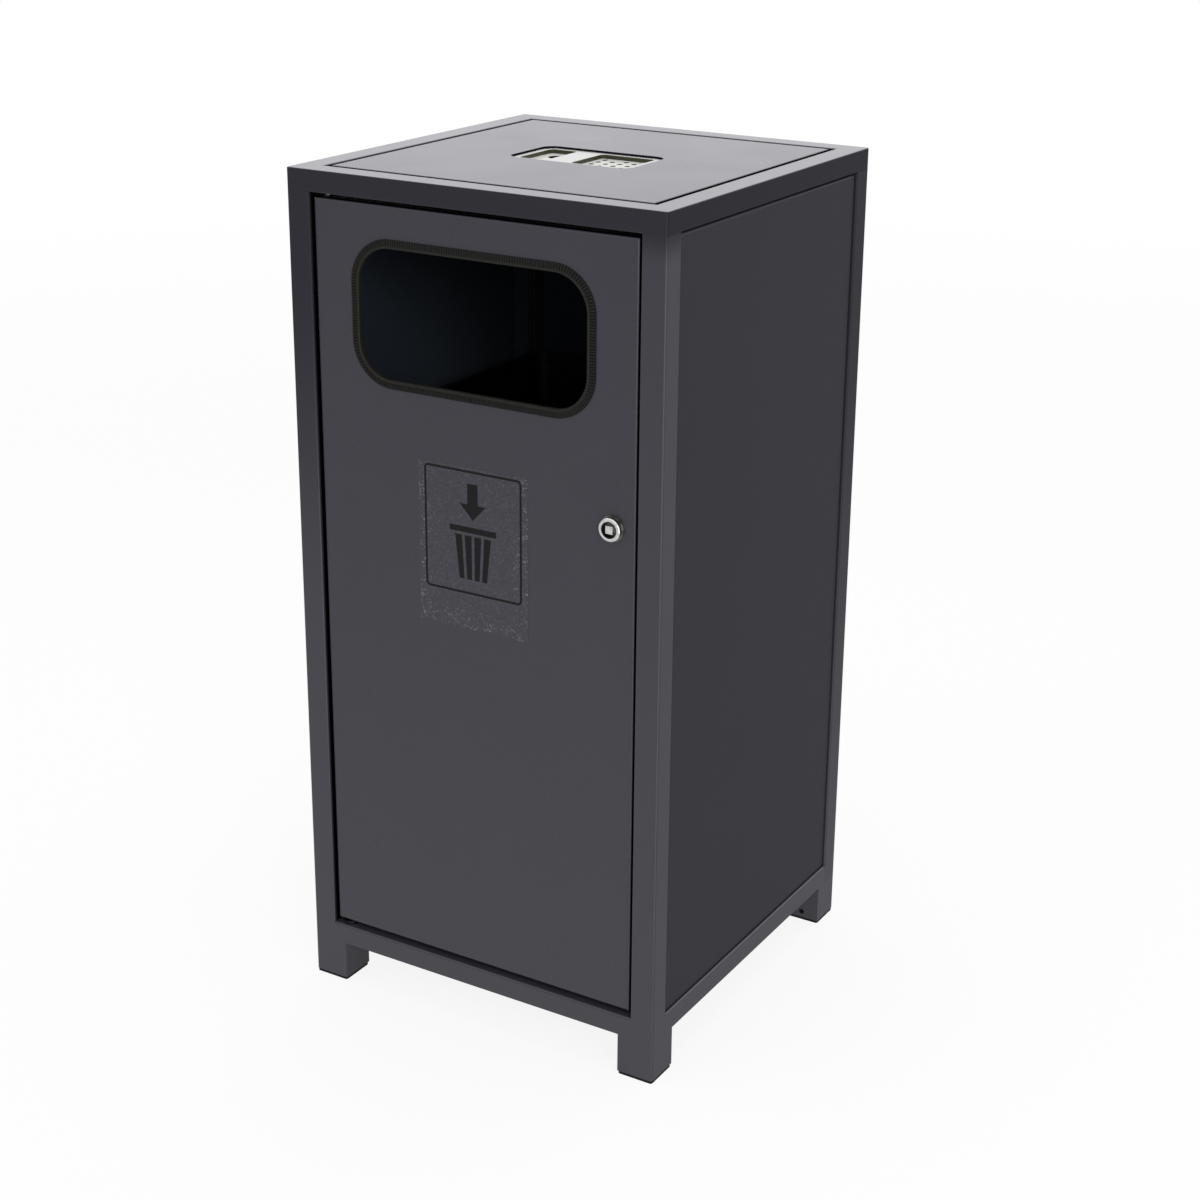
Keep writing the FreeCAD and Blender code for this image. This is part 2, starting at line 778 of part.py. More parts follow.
def liner_bucket():
    """The lift-out liner: a square bucket with round corners and a rolled rim."""
    body = liner_prism(0, floor_top, liner_rim)
    body = body.fuse(liner_prism(liner_rim_out, liner_rim - liner_rim_height, liner_rim)).removeSplitter()
    body = body.cut(liner_prism(-liner_wall, floor_top + liner_wall, liner_rim + overcut))
    return body.cut([ear_holes(-1), ear_holes(1)])


def bail_ears():
    """The two plates that the bail turns in."""
    ears = []
    for sign in (-1, 1):
        x = sign * liner_width / 2
        top = pivot_z + ear_height / 2 - ear_rivet_drop / 2
        plate = block(x, -ear_width / 2, top - ear_height, x + sign * ear_thickness, ear_width / 2, top)
        ears.append(plate.cut(ear_holes(sign)))
    return Part.makeCompound(ears)


def ear_rivets():
    """The rivets of both ears: a head outside and a head inside the liner."""
    solids = []
    for sign in (-1, 1):
        out = V(sign, 0, 0)
        for at in ear_rivet_places(sign):
            outside = at + out * ear_thickness
            inside = at - out * liner_wall
            shank = rod(ear_rivet_radius, inside, outside)
            heads = [
                rod(ear_rivet_head_radius, outside, outside + out * ear_rivet_head_height),
                rod(ear_rivet_head_radius, inside - out * ear_rivet_head_height, inside),
            ]
            solids.append(shank.fuse(heads).removeSplitter())
    return Part.makeCompound(solids)


def bent_path(points, radii):
    """A path of straight runs joined by tangent arcs, with one radius for each inner point."""
    edges = []
    start = points[0]
    for index, radius in enumerate(radii, 1):
        before = (points[index - 1] - points[index]).normalize()
        after = (points[index + 1] - points[index]).normalize()
        half_turn = (math.pi - before.getAngle(after)) / 2
        setback = radius * math.tan(half_turn)
        enter = points[index] + before * setback
        leave = points[index] + after * setback
        inward = (before + after).normalize()
        middle = points[index] + inward * (radius / math.cos(half_turn) - radius)
        edges.append(Part.LineSegment(start, enter).toShape())
        edges.append(Part.Arc(enter, middle, leave).toShape())
        start = leave
    edges.append(Part.LineSegment(start, points[-1]).toShape())
    return Part.Wire(edges)


def bail_handle():
    """The wire bail, lying back with its crossbar against the liner's rear wall."""
    end_x = liner_width / 2 - liner_wall - wire_inside
    points = [V(end_x, 0, 0), V(arm_x, 0, 0), V(arm_x, bail_length, 0),
              V(-arm_x, bail_length, 0), V(-arm_x, 0, 0), V(-end_x, 0, 0)]
    radii = [wire_pivot_bend, wire_corner_bend, wire_corner_bend, wire_pivot_bend]
    section = Part.Wire(Part.Circle(points[0], V(1, 0, 0), wire_radius).toShape())
    bail = bent_path(points, radii).makePipeShell([section], True, False)
    bail.rotate(V(0, 0, 0), V(1, 0, 0), -bail_rest_angle)
    bail.translate(V(0, 0, pivot_z))
    return bail


def all_nodes():
    """Every piece of the bin by its name."""
    nodes = {}
    ring = top_ring()
    for corner, (sx, sy) in corner_signs.items():
        nodes["post_" + corner] = post(sx, sy)
        nodes["foot_" + corner] = foot(sx, sy)
        nodes["foot_cap_" + corner] = foot_cap(sx, sy)
    for side in side_turn:
        nodes["top_rail_" + side] = top_rail(ring, side)
        nodes["bottom_rail_" + side] = bottom_rail(side)
    for side in panel_sides:
        nodes[side + "_panel"] = side_panel(side)
        nodes[side + "_panel_rivets"] = rivets(panel_rivet_places(side), panel_gap)
    nodes["top_panel"] = top_panel()
    nodes["top_panel_rivets"] = rivets(top_rivet_places(), top_gap)
    nodes["floor_panel"] = floor_panel()
    nodes["strike_bar"] = strike_bar()
    nodes["door_buffers"] = door_buffers()
    nodes["upper_hinge_pin"] = hinge_pin(head, 1, door_top)
    nodes["lower_hinge_pin"] = hinge_pin(sill, -1, door_bottom)
    nodes["hinge_washer"] = hinge_washer()
    nodes["ashtray_carrier"] = ashtray_carrier()
    nodes["door_skin"] = door_skin()
    nodes["opening_trim"] = opening_trim()
    nodes["door_label"] = door_label()
    nodes["upper_hinge_bush"] = hinge_bush(door_top, 1)
    nodes["lower_hinge_bush"] = hinge_bush(door_bottom, -1)
    nodes["lock_housing"] = lock_housing()
    nodes["lock_nut"] = lock_nut()
    nodes["lock_plug"] = lock_plug()
    nodes["lock_cam"] = lock_cam()
    nodes["cam_screw"] = cam_screw()
    nodes["liner_bucket"] = liner_bucket()
    nodes["bail_ears"] = bail_ears()
    nodes["ear_rivets"] = ear_rivets()
    nodes["bail_handle"] = bail_handle()
    nodes["ash_box"] = ash_box()
    nodes["ashtray_insert"] = ashtray_insert()
    return nodes


os.makedirs("parts", exist_ok=True)
for name, shape in all_nodes().items():
    shape.exportStep("parts/" + name + ".step")
    print(name, len(shape.Solids), shape.isValid(), round(shape.Volume, 1))
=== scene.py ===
"""The looks of a square outdoor litter bin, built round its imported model.

Every node of the model gets a finish. The ribbed edge trim and the sign on the door are modelled here.
Lengths are in metres in the model's own frame: +Z is up and the door faces -Y.
"""

import logging
import math
from dataclasses import dataclass, field
from enum import Enum
from typing import Any, Callable, Iterable, Mapping, Sequence, Union

import bpy
import numpy as np
from mathutils import Matrix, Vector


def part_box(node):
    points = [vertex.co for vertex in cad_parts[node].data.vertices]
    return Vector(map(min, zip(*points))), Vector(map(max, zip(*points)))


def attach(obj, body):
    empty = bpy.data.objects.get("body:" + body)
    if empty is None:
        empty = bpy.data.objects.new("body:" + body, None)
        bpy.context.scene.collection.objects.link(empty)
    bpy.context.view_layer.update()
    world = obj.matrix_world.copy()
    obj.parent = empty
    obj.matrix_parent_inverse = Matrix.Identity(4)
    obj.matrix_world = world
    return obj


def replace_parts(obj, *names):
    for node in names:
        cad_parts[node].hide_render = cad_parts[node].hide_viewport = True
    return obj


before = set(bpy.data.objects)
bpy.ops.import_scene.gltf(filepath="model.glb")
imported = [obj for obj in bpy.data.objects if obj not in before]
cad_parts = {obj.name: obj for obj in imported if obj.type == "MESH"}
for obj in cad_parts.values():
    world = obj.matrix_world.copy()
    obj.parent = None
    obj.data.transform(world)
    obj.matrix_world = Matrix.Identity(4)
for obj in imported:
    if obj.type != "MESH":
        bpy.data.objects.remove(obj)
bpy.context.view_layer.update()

BIN_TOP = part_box("top_rail_front")[1].z
POST_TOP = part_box("post_front_right")[1].z
FAR = 1.0  # a distance beyond every piece of the bin
DOOR_BODY = "door"
MM = 0.001
SHARP_ANGLE = math.radians(40)
LOG = logging.getLogger("litter_bin")

Colour = tuple[float, float, float]
Place = tuple[float, float, float]
Pair = tuple[float, float]
Faces = list[list[int]]
Shape = tuple[np.ndarray, Faces]
Operand = Union["Socket", float]
# the dull black that stands for painted shade in the gaps between parts, and for soot
SHADE_AND_SOOT_BLACK: Colour = (0.002, 0.002, 0.002)


class Slot(Enum):
    """The record's material slots for the new pieces; nothing in this script uses them."""

    RUBBER = "black_rubber"
    LABEL = "label_film"


def linear(code: str) -> Colour:
    """Turns a colour written as six hexadecimal digits into linear light.

    Args:
        code: The colour as red, green and blue, two digits each.

    Returns:
        The three channels in linear light.
    """
    parts = np.array([int(code[i:i + 2], 16) for i in (0, 2, 4)]) / 255
    light = np.where(parts <= 0.04045, parts / 12.92, ((parts + 0.055) / 1.055) ** 2.4)
    return tuple(float(x) for x in light)


def scaled(colour: Colour, share: float) -> Colour:
    """A colour made lighter or darker."""
    return tuple(share * c for c in colour)


def operator(operation: str, swapped: bool = False) -> Callable[..., "Socket"]:
    """Makes an operator of a socket.

    Args:
        operation: The Math node's operation.
        swapped: Whether the other operand comes first.

    Returns:
        The operator, as a method.
    """
    def method(socket: "Socket", other: Operand = 0.0) -> "Socket":
        """Adds the Math node on the socket and the other operand."""
        operands = (other, socket) if swapped else (socket, other)
        return socket.graph.math(operation, *operands)

    return method


class Socket:
    """A shader output that takes part in expressions: each operator adds one Math node."""

    __add__ = operator("ADD")
    __radd__ = operator("ADD", swapped=True)
    __sub__ = operator("SUBTRACT")
    __rsub__ = operator("SUBTRACT", swapped=True)
    __mul__ = operator("MULTIPLY")
    __rmul__ = operator("MULTIPLY", swapped=True)
    __abs__ = operator("ABSOLUTE")
    at_least = operator("MAXIMUM")
    at_most = operator("MINIMUM")

    def __init__(self, graph: "Graph", output: bpy.types.NodeSocket) -> None:
        """Keeps the graph and the node's output."""
        self.graph = graph
        self.output = output

    def ramp(self, low: float, high: float) -> "Socket":
        """A smooth rise from 0 at one value to 1 at another."""
        return self.graph.node("ShaderNodeMapRange", {"interpolation_type": "SMOOTHSTEP"},
                               {"Value": self, "From Min": low, "From Max": high})


class Graph:
    """The node tree of a material or of the world."""

    def __init__(self, owner: Union[bpy.types.Material, bpy.types.World]) -> None:
        """Empties the owner's node tree.

        Args:
            owner: The material or the world.
        """
        owner.use_nodes = True
        self.tree = owner.node_tree
        self.tree.nodes.clear()

    def node(self, kind: str, settings: Mapping[str, Any], sockets: Mapping[Any, Any],
             output: Union[str, int] = 0) -> Socket:
        """Adds one node.

        Args:
            kind: The node's type.
            settings: Its own settings, set before its sockets.
            sockets: The value or the link of each input, by name or number.
            output: The output that is wanted.

        Returns:
            That output.
        """
        made = self.tree.nodes.new(kind)
        for name, value in settings.items():
            setattr(made, name, value)
        for name, value in sockets.items():
            if isinstance(value, Socket):
                self.tree.links.new(value.output, made.inputs[name])
            else:
                made.inputs[name].default_value = value
        return Socket(self, made.outputs[output]) if len(made.outputs) else Socket(self, None)

    def math(self, operation: str, first: Operand, second: Operand) -> Socket:
        """Adds a Math node on two values."""
        return self.node("ShaderNodeMath", {"operation": operation}, {0: first, 1: second})

    def place(self) -> Socket:
        """The point's place in the model's frame."""
        return self.node("ShaderNodeTexCoord", {}, {}, "Object")

    def level(self) -> Socket:
        """The point's height in the model's frame."""
        return self.axes(self.place())[2]

    def ray(self, kind: str) -> Socket:
        """One for rays of a kind, and nought for the others."""
        return self.node("ShaderNodeLightPath", {}, {}, f"Is {kind} Ray")

    def axes(self, vector: Socket) -> tuple[Socket, Socket, Socket]:
        """Splits a vector into its three parts."""
        return tuple(self.node("ShaderNodeSeparateXYZ", {}, {0: vector}, axis) for axis in "XYZ")

    def stretched(self, scale: Place) -> Socket:
        """The point's place, scaled by axis."""
        return self.node("ShaderNodeMapping", {}, {"Vector": self.place(), "Scale": scale})

    def noise(self, size: float, detail: float = 2.0, where: Union[Socket, None] = None) -> Socket:
        """Smooth noise round one half, with features of one size, at the point's place or another."""
        return self.node("ShaderNodeTexNoise", {},
                         {"Vector": where or self.place(), "Scale": 1 / size, "Detail": detail})

    def cells(self, size: float) -> Socket:
        """The random colours of a pattern of cells of one size."""
        sockets = {"Vector": self.place(), "Scale": 1 / size}
        return self.node("ShaderNodeTexVoronoi", {}, sockets, "Color")

    def mix(self, share: Operand, first: Union[Socket, Colour], second: Union[Socket, Colour]) -> Socket:
        """Mixes two colours by the share that is taken of the second."""
        ends = [c if isinstance(c, Socket) else (*c, 1.0) for c in (first, second)]
        return self.node("ShaderNodeMix", {"data_type": "RGBA"}, {0: share, 6: ends[0], 7: ends[1]}, 2)

    def bump(self, height: Socket, depth: float) -> Socket:
        """A normal that follows a height from 0 to 1, where 1 stands for a depth."""
        return self.node("ShaderNodeBump", {}, {"Height": height, "Distance": depth})

    def surface(self, sockets: Mapping[str, Any], painted_shade_and_soot: Union[Socket, None] = None) -> None:
        """Ends the graph in a Principled surface.

        Args:
            sockets: The surface's sockets.
            painted_shade_and_soot: Where dull black covers it: painted shade in the gaps between parts,
                and soot with painted shade in the ashtray's holes.
        """
        shader = self.node("ShaderNodeBsdfPrincipled", {}, sockets)
        # painted shade: a dull black surface is mixed over the paint where the gaps lie in shade
        if painted_shade_and_soot is not None:
            black = self.node("ShaderNodeBsdfPrincipled", {}, {
                "Base Color": (*SHADE_AND_SOOT_BLACK, 1.0), "Roughness": 0.9, "Specular IOR Level": 0.0})
            shader = self.node("ShaderNodeMixShader", {}, {0: painted_shade_and_soot, 1: shader, 2: black})
        self.node("ShaderNodeOutputMaterial", {}, {"Surface": shader})


@dataclass(frozen=True)
class Zone:
    """A box in the model's frame, with soft walls, or all that lies outside it."""

    low: Place  # the box's lowest corner
    high: Place  # the box's highest corner
    soft: float = 0.3 * MM  # the thickness of its walls
    outside: bool = False  # whether the zone is what lies outside the box

    def share(self, graph: Graph) -> Socket:
        """How far a point belongs to the zone.

        Args:
            graph: The material's graph.

        Returns:
            The share, from 0 to 1.
        """
        depths = [(at - low).at_most(high - at)
                  for at, low, high in zip(graph.axes(graph.place()), self.low, self.high)]
        inside = depths[0].at_most(depths[1]).at_most(depths[2]).ramp(0.0, self.soft)
        return 1.0 - inside if self.outside else inside


@dataclass(frozen=True)
class Finish:
    """What all the finishes share."""

    name: str

    def material(self) -> bpy.types.Material:
        """Makes the material, or finds it if it was made before.

        Returns:
            The finish as a Blender material.
        """
        found = bpy.data.materials.get(self.name)
        if found is None:
            found = bpy.data.materials.new(self.name)
            self.draw(Graph(found))
        return found

    def draw(self, graph: Graph) -> None:
        """Draws the finish's nodes."""
        raise NotImplementedError


@dataclass(frozen=True)
class PowderCoat(Finish):
    """Satin powder coat: a fine orange peel and clouds of tone."""

    colour: Colour = linear("38373e")
    gloss: float = 0.5  # the strength of the paint's gloss, 0.5 for a plain clear coat
    gloss_roughness: float = 0.30
    clouds: float = 70 * MM  # the size of the clouds of tone
    grain: float = 0.9 * MM  # the size of the grain of tone
    spread: float = 0.06  # how far the tone varies either way
    peel_size: float = 1.3 * MM  # the width of an orange peel dimple
    peel_depth: float = 0.003 * MM  # the depth of an orange peel dimple
    gap: tuple[Zone, ...] = ()  # the zones in the gaps that are painted black as shade, wherever they all meet

    def coat(self, graph: Graph) -> dict[str, Any]:
        """Draws the clouded, dimpled paint.

        Args:
            graph: The material's graph.

        Returns:
            The sockets of the surface.
        """
        clouds = graph.noise(self.clouds, 4.0)
        tone = clouds * 0.7 + graph.noise(self.grain, 1.0) * 0.3
        darker, lighter = (scaled(self.colour, 1 + change) for change in (-self.spread, self.spread))
        return {
            "Base Color": graph.mix(tone, darker, lighter),
            "Roughness": self.gloss_roughness - 0.03 + 0.06 * clouds,
            "Specular IOR Level": self.gloss,
            "Normal": graph.bump(graph.noise(self.peel_size, 2.0), self.peel_depth),
        }

    def painted_shade_and_soot(self, graph: Graph) -> Union[Socket, None]:
        """Where the paint is painted black as shade in the gaps, if it is anywhere."""
        shares = [zone.share(graph) for zone in self.gap]
        return math.prod(shares[1:], start=shares[0]) if shares else None

    def draw(self, graph: Graph) -> None:
        """Draws the paint."""
        graph.surface(self.coat(graph), self.painted_shade_and_soot(graph))


@dataclass(frozen=True)
class PanelCoat(PowderCoat):
    """Powder coat with a bluish colour on the panel's inner side: a painted tint of the cool light
    inside the bin.
    """

    # the inner side's colour, bluish as painted light
    inner: Colour = linear("333941")
    reach: float = 0.0  # how far the space inside the panels reaches from the bin's axis

    def draw(self, graph: Graph) -> None:
        """Draws the paint of both sides.

        Args:
            graph: The material's graph.
        """
        space = Zone((-self.reach, -self.reach, 0.0), (self.reach, self.reach, FAR))
        sockets = self.coat(graph)
        sockets["Base Color"] = graph.mix(space.share(graph), sockets["Base Color"], self.inner)
        graph.surface(sockets)


@dataclass(frozen=True)
class PaintedShadeCoat(PowderCoat):
    """Powder coat whose gloss changes with the height, and whose colour darkens towards the top as
    painted shade.
    """

    gloss: float = 0.12
    upper_shade_colour: Colour = linear("2c2c32")  # the darker colour above the fade, painted shade
    # the levels between which the lower colour turns into the darker upper one
    fade: Pair = (POST_TOP - 30 * MM, POST_TOP + 5 * MM)
    lacquer: Pair = (0.85, 0.0)  # how much clear gloss lies over the paint below the fade and above it

    def draw(self, graph: Graph) -> None:
        """Draws the paint with its fade into painted shade.

        Args:
            graph: The material's graph.
        """
        sockets = self.coat(graph)
        # painted shade: the colour darkens with the height
        upper = graph.level().ramp(*self.fade)
        sockets["Base Color"] = graph.mix(upper, sockets["Base Color"], self.upper_shade_colour)
        below, above = self.lacquer
        sockets["Coat Weight"] = below + (above - below) * upper
        sockets["Coat Roughness"] = self.gloss_roughness
        graph.surface(sockets, self.painted_shade_and_soot(graph))


@dataclass(frozen=True)
class RingCoat(PaintedShadeCoat):
    """The paint of the top ring: darker than the posts as painted shade, and glossy on its upper face
    alone.
    """

    # the ring's colour, darker as painted shade
    colour: Colour = linear("2c2c32")
    fade: Pair = (BIN_TOP - 0.8 * MM, BIN_TOP - 0.1 * MM)
    lacquer: Pair = (0.0, 0.7)


@dataclass(frozen=True)
class Rubber(Finish):
    """Matt black rubber with a dusty bloom."""

    colour: Colour = linear("151513")
    bloom: Colour = linear("2b2b27")  # the colour of the dust on it
    blotch: float = 9 * MM  # the size of a patch of dust
    grain: float = 0.35 * MM  # the size of its grain

    def dust(self, graph: Graph) -> Socket:
        """Where dust lies on the rubber."""
        return graph.noise(self.blotch, 4.0).ramp(0.42, 0.75) * 0.7

    def draw(self, graph: Graph) -> None:
        """Draws mottled rubber with a fine grain.

        Args:
            graph: The material's graph.
        """
        grain = graph.noise(self.grain, 2.0)
        graph.surface({
            "Base Color": graph.mix(self.dust(graph), self.colour, self.bloom),
            "Roughness": 0.45 + 0.2 * grain,
            "Specular IOR Level": 0.2,
            "Normal": graph.bump(grain, 0.02 * MM),
        })


@dataclass(frozen=True)
class RibbedRubber(Rubber):
    """Rubber whose lip and ribs are worn paler, and whose valleys between them are darker as painted
    shade.
    """

    # the valleys' colour, darker than plain rubber as painted shade
    colour: Colour = linear("080807")
    bloom: Colour = linear("20201c")
    crest: str = "crest"  # the mesh's value that is 1 on the lip, less on a rib and 0 in a valley

    def dust(self, graph: Graph) -> Socket:
        """Dust and wear on the ribs, a little uneven; none in the valleys, which stay dark as painted
        shade.
        """
        crest = graph.node("ShaderNodeAttribute", {"attribute_name": self.crest}, {}, "Fac")
        return crest * (0.7 + 0.6 * graph.noise(self.blotch, 4.0)).at_most(1.0)


@dataclass(frozen=True)
class MouldedPlastic(Finish):
    """Moulded plastic with an eroded grain."""

    colour: Colour = linear("0c0c0d")
    grain: float = 0.5 * MM  # the size of its grain

    def draw(self, graph: Graph) -> None:
        """Draws grained plastic.

        Args:
            graph: The material's graph.
        """
        grain = graph.noise(self.grain, 3.0)
        graph.surface({
            "Base Color": graph.mix(grain, self.colour, scaled(self.colour, 1.5)),
            "Roughness": 0.48 + 0.15 * grain,
            "Specular IOR Level": 0.2,
            "Normal": graph.bump(grain, 0.02 * MM),
        })


@dataclass(frozen=True)
class BrightSteel(Finish):
    """Bright stainless sheet with a drawn grain along X."""

    colour: Colour = linear("b2b2ab")
    stained: Colour = linear("3a3826")  # the colour of its stains
    ashen: Colour = linear("c7c7c0")  # the colour of the ash on it
    gloss_roughness: float = 0.20  # the mean roughness
    grain_length: float = 18 * MM
    grain_width: float = 0.25 * MM
    mark: float = 14 * MM  # the size of a handling mark

    def stain(self, graph: Graph) -> Socket:
        """Where the steel is stained dark."""
        raise NotImplementedError

    def ash(self, graph: Graph) -> Socket:
        """Where a film of pale ash dulls the steel: on the stains alone, where it doesn't show."""
        return self.stain(graph)

    def soot(self, graph: Graph) -> Union[Socket, None]:
        """Where soot covers the steel, if it does anywhere."""
        return None

    def draw(self, graph: Graph) -> None:
        """Draws grain lines, faint handling marks, stains and ash.

        Args:
            graph: The material's graph.
        """
        fine = 1 / self.grain_width
        lines = graph.noise(1.0, 3.0, graph.stretched((1 / self.grain_length, fine, fine)))
        marks = graph.noise(self.mark, 4.0)
        bare = graph.mix(lines * 0.6 + marks * 0.4, scaled(self.colour, 0.9), self.colour)
        stain, ash = self.stain(graph), self.ash(graph)
        dullness = 0.08 * lines + 0.06 * marks + 0.15 * stain + 0.3 * ash
        graph.surface({
            "Base Color": graph.mix(stain, graph.mix(ash, bare, self.ashen), self.stained),
            "Metallic": 1.0 - 0.8 * stain.at_least(ash),
            "Roughness": self.gloss_roughness - 0.06 + dullness,
            "Normal": graph.bump(lines, 0.004 * MM),
        }, self.soot(graph))


@dataclass(frozen=True)
class PressedSteel(BrightSteel):
    """Bright sheet with pressed wells: tar on their walls, ash on their floors, and soot with painted
    shade in the holes.
    """

    floor: float = 0.0  # the level of the floors' upper face
    rim: float = 0.0  # the level of the walls' top
    foot: float = 0.3 * MM  # how far above the floor the walls' tar starts
    blend: float = 0.7 * MM  # the height over which the stain fades out at the walls' foot and top
    wave: float = 5 * MM  # the size of the waves along the stain's edge
    hole: Pair = (0.2 * MM, 0.05 * MM)  # how far below the floor the holes are black, and start to be

    def stain(self, graph: Graph) -> Socket:
        """The band of level that the walls cover, with clouded edges.

        Args:
            graph: The material's graph.

        Returns:
            The share of stain, from 0 to 1.
        """
        level = graph.level()
        low = self.floor + self.foot
        wavy = level + (graph.noise(self.wave, 3.0) - 0.5) * self.blend
        return wavy.ramp(low, low + self.blend) * (1.0 - level.ramp(self.rim - self.blend, self.rim))

    def ash(self, graph: Graph) -> Socket:
        """The wells' floors, up to the walls' foot."""
        low = self.floor + self.foot
        return 1.0 - graph.level().ramp(low, low + self.blend)

    def soot(self, graph: Graph) -> Union[Socket, None]:
        """Soot with painted shade: the walls of the holes and the under side, all below the floors'
        upper face, painted black.
        """
        black, clean = (self.floor - depth for depth in self.hole)
        return 1.0 - graph.level().ramp(black, clean)


@dataclass(frozen=True)
class SootySteel(BrightSteel):
    """A steel box that is sooty inside."""

    half: Pair = (0.0, 0.0)  # half the box's width and half its depth, to the middle of its walls
    floor: float = 0.0  # the level of the middle of its floor
    skin: float = 0.2 * MM  # the distance over which the soot begins

    def stain(self, graph: Graph) -> Socket:
        """The space within the walls and above the floor.

        Args:
            graph: The material's graph.

        Returns:
            The share of soot, from 0 to 1.
        """
        x, y, z = graph.axes(graph.place())
        within = (self.half[0] - abs(x)).at_most(self.half[1] - abs(y)).at_most(z - self.floor)
        return within.ramp(0.0, self.skin)


@dataclass(frozen=True)
class Chrome(Finish):
    """Polished chrome plate with faint wear: bright in front, with painted shade that makes it greyer
    behind and dark in the recess.
    """

    axis: Pair = (0.0, 0.0)  # the X and Z of the lock's axis
    bright_to: float = 0.0  # the Y of the bright front's end
    recess: Pair = (5.4 * MM, 8.2 * MM)  # the inner and the outer radius of the recess, painted dark as shade
    colour: Colour = linear("e4e4e2")  # the chrome's colour in front
    side: Colour = linear("8e8e88")  # its colour behind, greyer as painted shade
    dark: Colour = linear("4c4c46")  # its colour in the recess, darkened as painted shade
    spot: float = 2.5 * MM  # the size of a dull spot

    def draw(self, graph: Graph) -> None:
        """Draws bright metal with small dull spots, and the painted shade of the grey behind and the
        dark recess.

        Args:
            graph: The material's graph.
        """
        wear = graph.noise(self.spot, 4.0).ramp(0.5, 0.8)
        x, y, z = graph.axes(graph.place())
        across, up = x - self.axis[0], z - self.axis[1]
        square = across * across + up * up
        inner, outer = (radius * radius for radius in self.recess)
        # painted shade: the recess ring and the side behind are darker than the front
        ring = square.ramp(inner, 1.05 * inner) * (1.0 - square.ramp(outer, 1.05 * outer))
        behind = y.ramp(self.bright_to, self.bright_to + 0.3 * MM)
        front = graph.mix(wear, self.colour, scaled(self.colour, 0.6))
        graph.surface({
            "Base Color": graph.mix(ring, graph.mix(behind, front, self.side), self.dark),
            "Metallic": 0.55 + 0.45 * behind.at_least(ring),
            "Roughness": 0.09 + 0.12 * wear + 0.1 * ring,
            "Normal": graph.bump(wear, 0.01 * MM),
        })


@dataclass(frozen=True)
class ZincPlate(Finish):
    """Zinc plate with a soft, cloudy grey."""

    colour: Colour = linear("b9bcbe")
    cloud: float = 4 * MM  # the size of a cloud

    def draw(self, graph: Graph) -> None:
        """Draws clouds of dull and bright zinc.

        Args:
            graph: The material's graph.
        """
        clouds = graph.noise(self.cloud, 4.0)
        graph.surface({
            "Base Color": graph.mix(clouds, scaled(self.colour, 0.7), self.colour),
            "Metallic": 1.0,
            "Roughness": 0.28 + 0.2 * clouds,
            "Normal": graph.bump(clouds, 0.01 * MM),
        })


@dataclass(frozen=True)
class Galvanised(Finish):
    """Hot-dip galvanised sheet with its spangle."""

    spangle: float = 9 * MM  # the width of a zinc crystal
    ripple: float = 6 * MM  # the size of the sheet's ripples
    dull: Colour = linear("45494b")  # the colour of the darkest crystals
    bright: Colour = linear("5d6163")  # the colour of the brightest crystals

    def draw(self, graph: Graph) -> None:
        """Draws crystals of differing brightness and gloss.

        Args:
            graph: The material's graph.
        """
        wobble = graph.noise(self.ripple, 3.0)
        shade, gloss, _ = graph.axes(graph.cells(self.spangle))
        graph.surface({
            "Base Color": graph.mix(shade * 0.7 + wobble * 0.3, self.dull, self.bright),
            "Metallic": 1.0,
            "Roughness": 0.34 + 0.16 * gloss,
            "Normal": graph.bump(wobble, 0.01 * MM),
        })


@dataclass(frozen=True)
class LabelFilm(Finish):
    """A thin clear film on the door's paint, worn and speckled towards its sides and its foot."""

    middle: Pair = (0.0, 0.0)  # the X and Z of the film's middle
    half: Pair = (0.0, 0.0)  # half its width and half its height
    colour: Colour = linear("38373e")
    worn: Colour = linear("8a8a8f")  # the colour of its worn specks
    border: float = 22 * MM  # the width of the worn border
    speck: float = 1.6 * MM  # the size of a speck
    patch: float = 14 * MM  # the size of a patch of specks

    def draw(self, graph: Graph) -> None:
        """Draws the film, with specks in patches along its edge.

        Args:
            graph: The material's graph.
        """
        x, _, z = graph.axes(graph.place())
        inside_x = self.half[0] - abs(x - self.middle[0])
        above_foot = z - (self.middle[1] - self.half[1])
        edge = 1.0 - inside_x.at_most(above_foot).ramp(0.0, self.border)
        specks = graph.noise(self.speck, 3.0).ramp(0.52, 0.68)
        patches = graph.noise(self.patch, 3.0).ramp(0.38, 0.62)
        wear = specks * (0.14 + 0.46 * edge * patches)
        graph.surface({
            "Base Color": graph.mix(wear, self.colour, self.worn),
            "Roughness": 0.29 + 0.15 * wear,
            "Normal": graph.bump(wear, 0.01 * MM),
        })


@dataclass(frozen=True)
class PrintingInk(Finish):
    """Dull dark printing ink."""

    colour: Colour = linear("181818")
    blotch: float = 2.2 * MM  # the size of its unevenness

    def draw(self, graph: Graph) -> None:
        """Draws ink that covers a little unevenly.

        Args:
            graph: The material's graph.
        """
        cover = graph.noise(self.blotch, 3.0)
        graph.surface({
            "Base Color": graph.mix(cover, self.colour, scaled(self.colour, 1.5)),
            "Roughness": 0.45 + 0.12 * cover,
            "Specular IOR Level": 0.12,
        })


def dress(finish: Finish, nodes: Iterable[str]) -> None:
    """Gives a finish to nodes of the model.

    Args:
        finish: The finish.
        nodes: The nodes' names.
    """
    for name in nodes:
        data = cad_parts[name].data
        data.materials.clear()
        data.materials.append(finish.material())
        LOG.info("dressed %s in %s", name, finish.name)


def corner_names(prefix: str) -> list[str]:
    """The nodes that stand at the four corners."""
    return [f"{prefix}_{end}_{side}" for end in ("front", "rear") for side in ("left", "right")]


def side_names(prefix: str) -> list[str]:
    """The nodes that run along the four sides."""
    return [f"{prefix}_{side}" for side in ("front", "right", "rear", "left")]


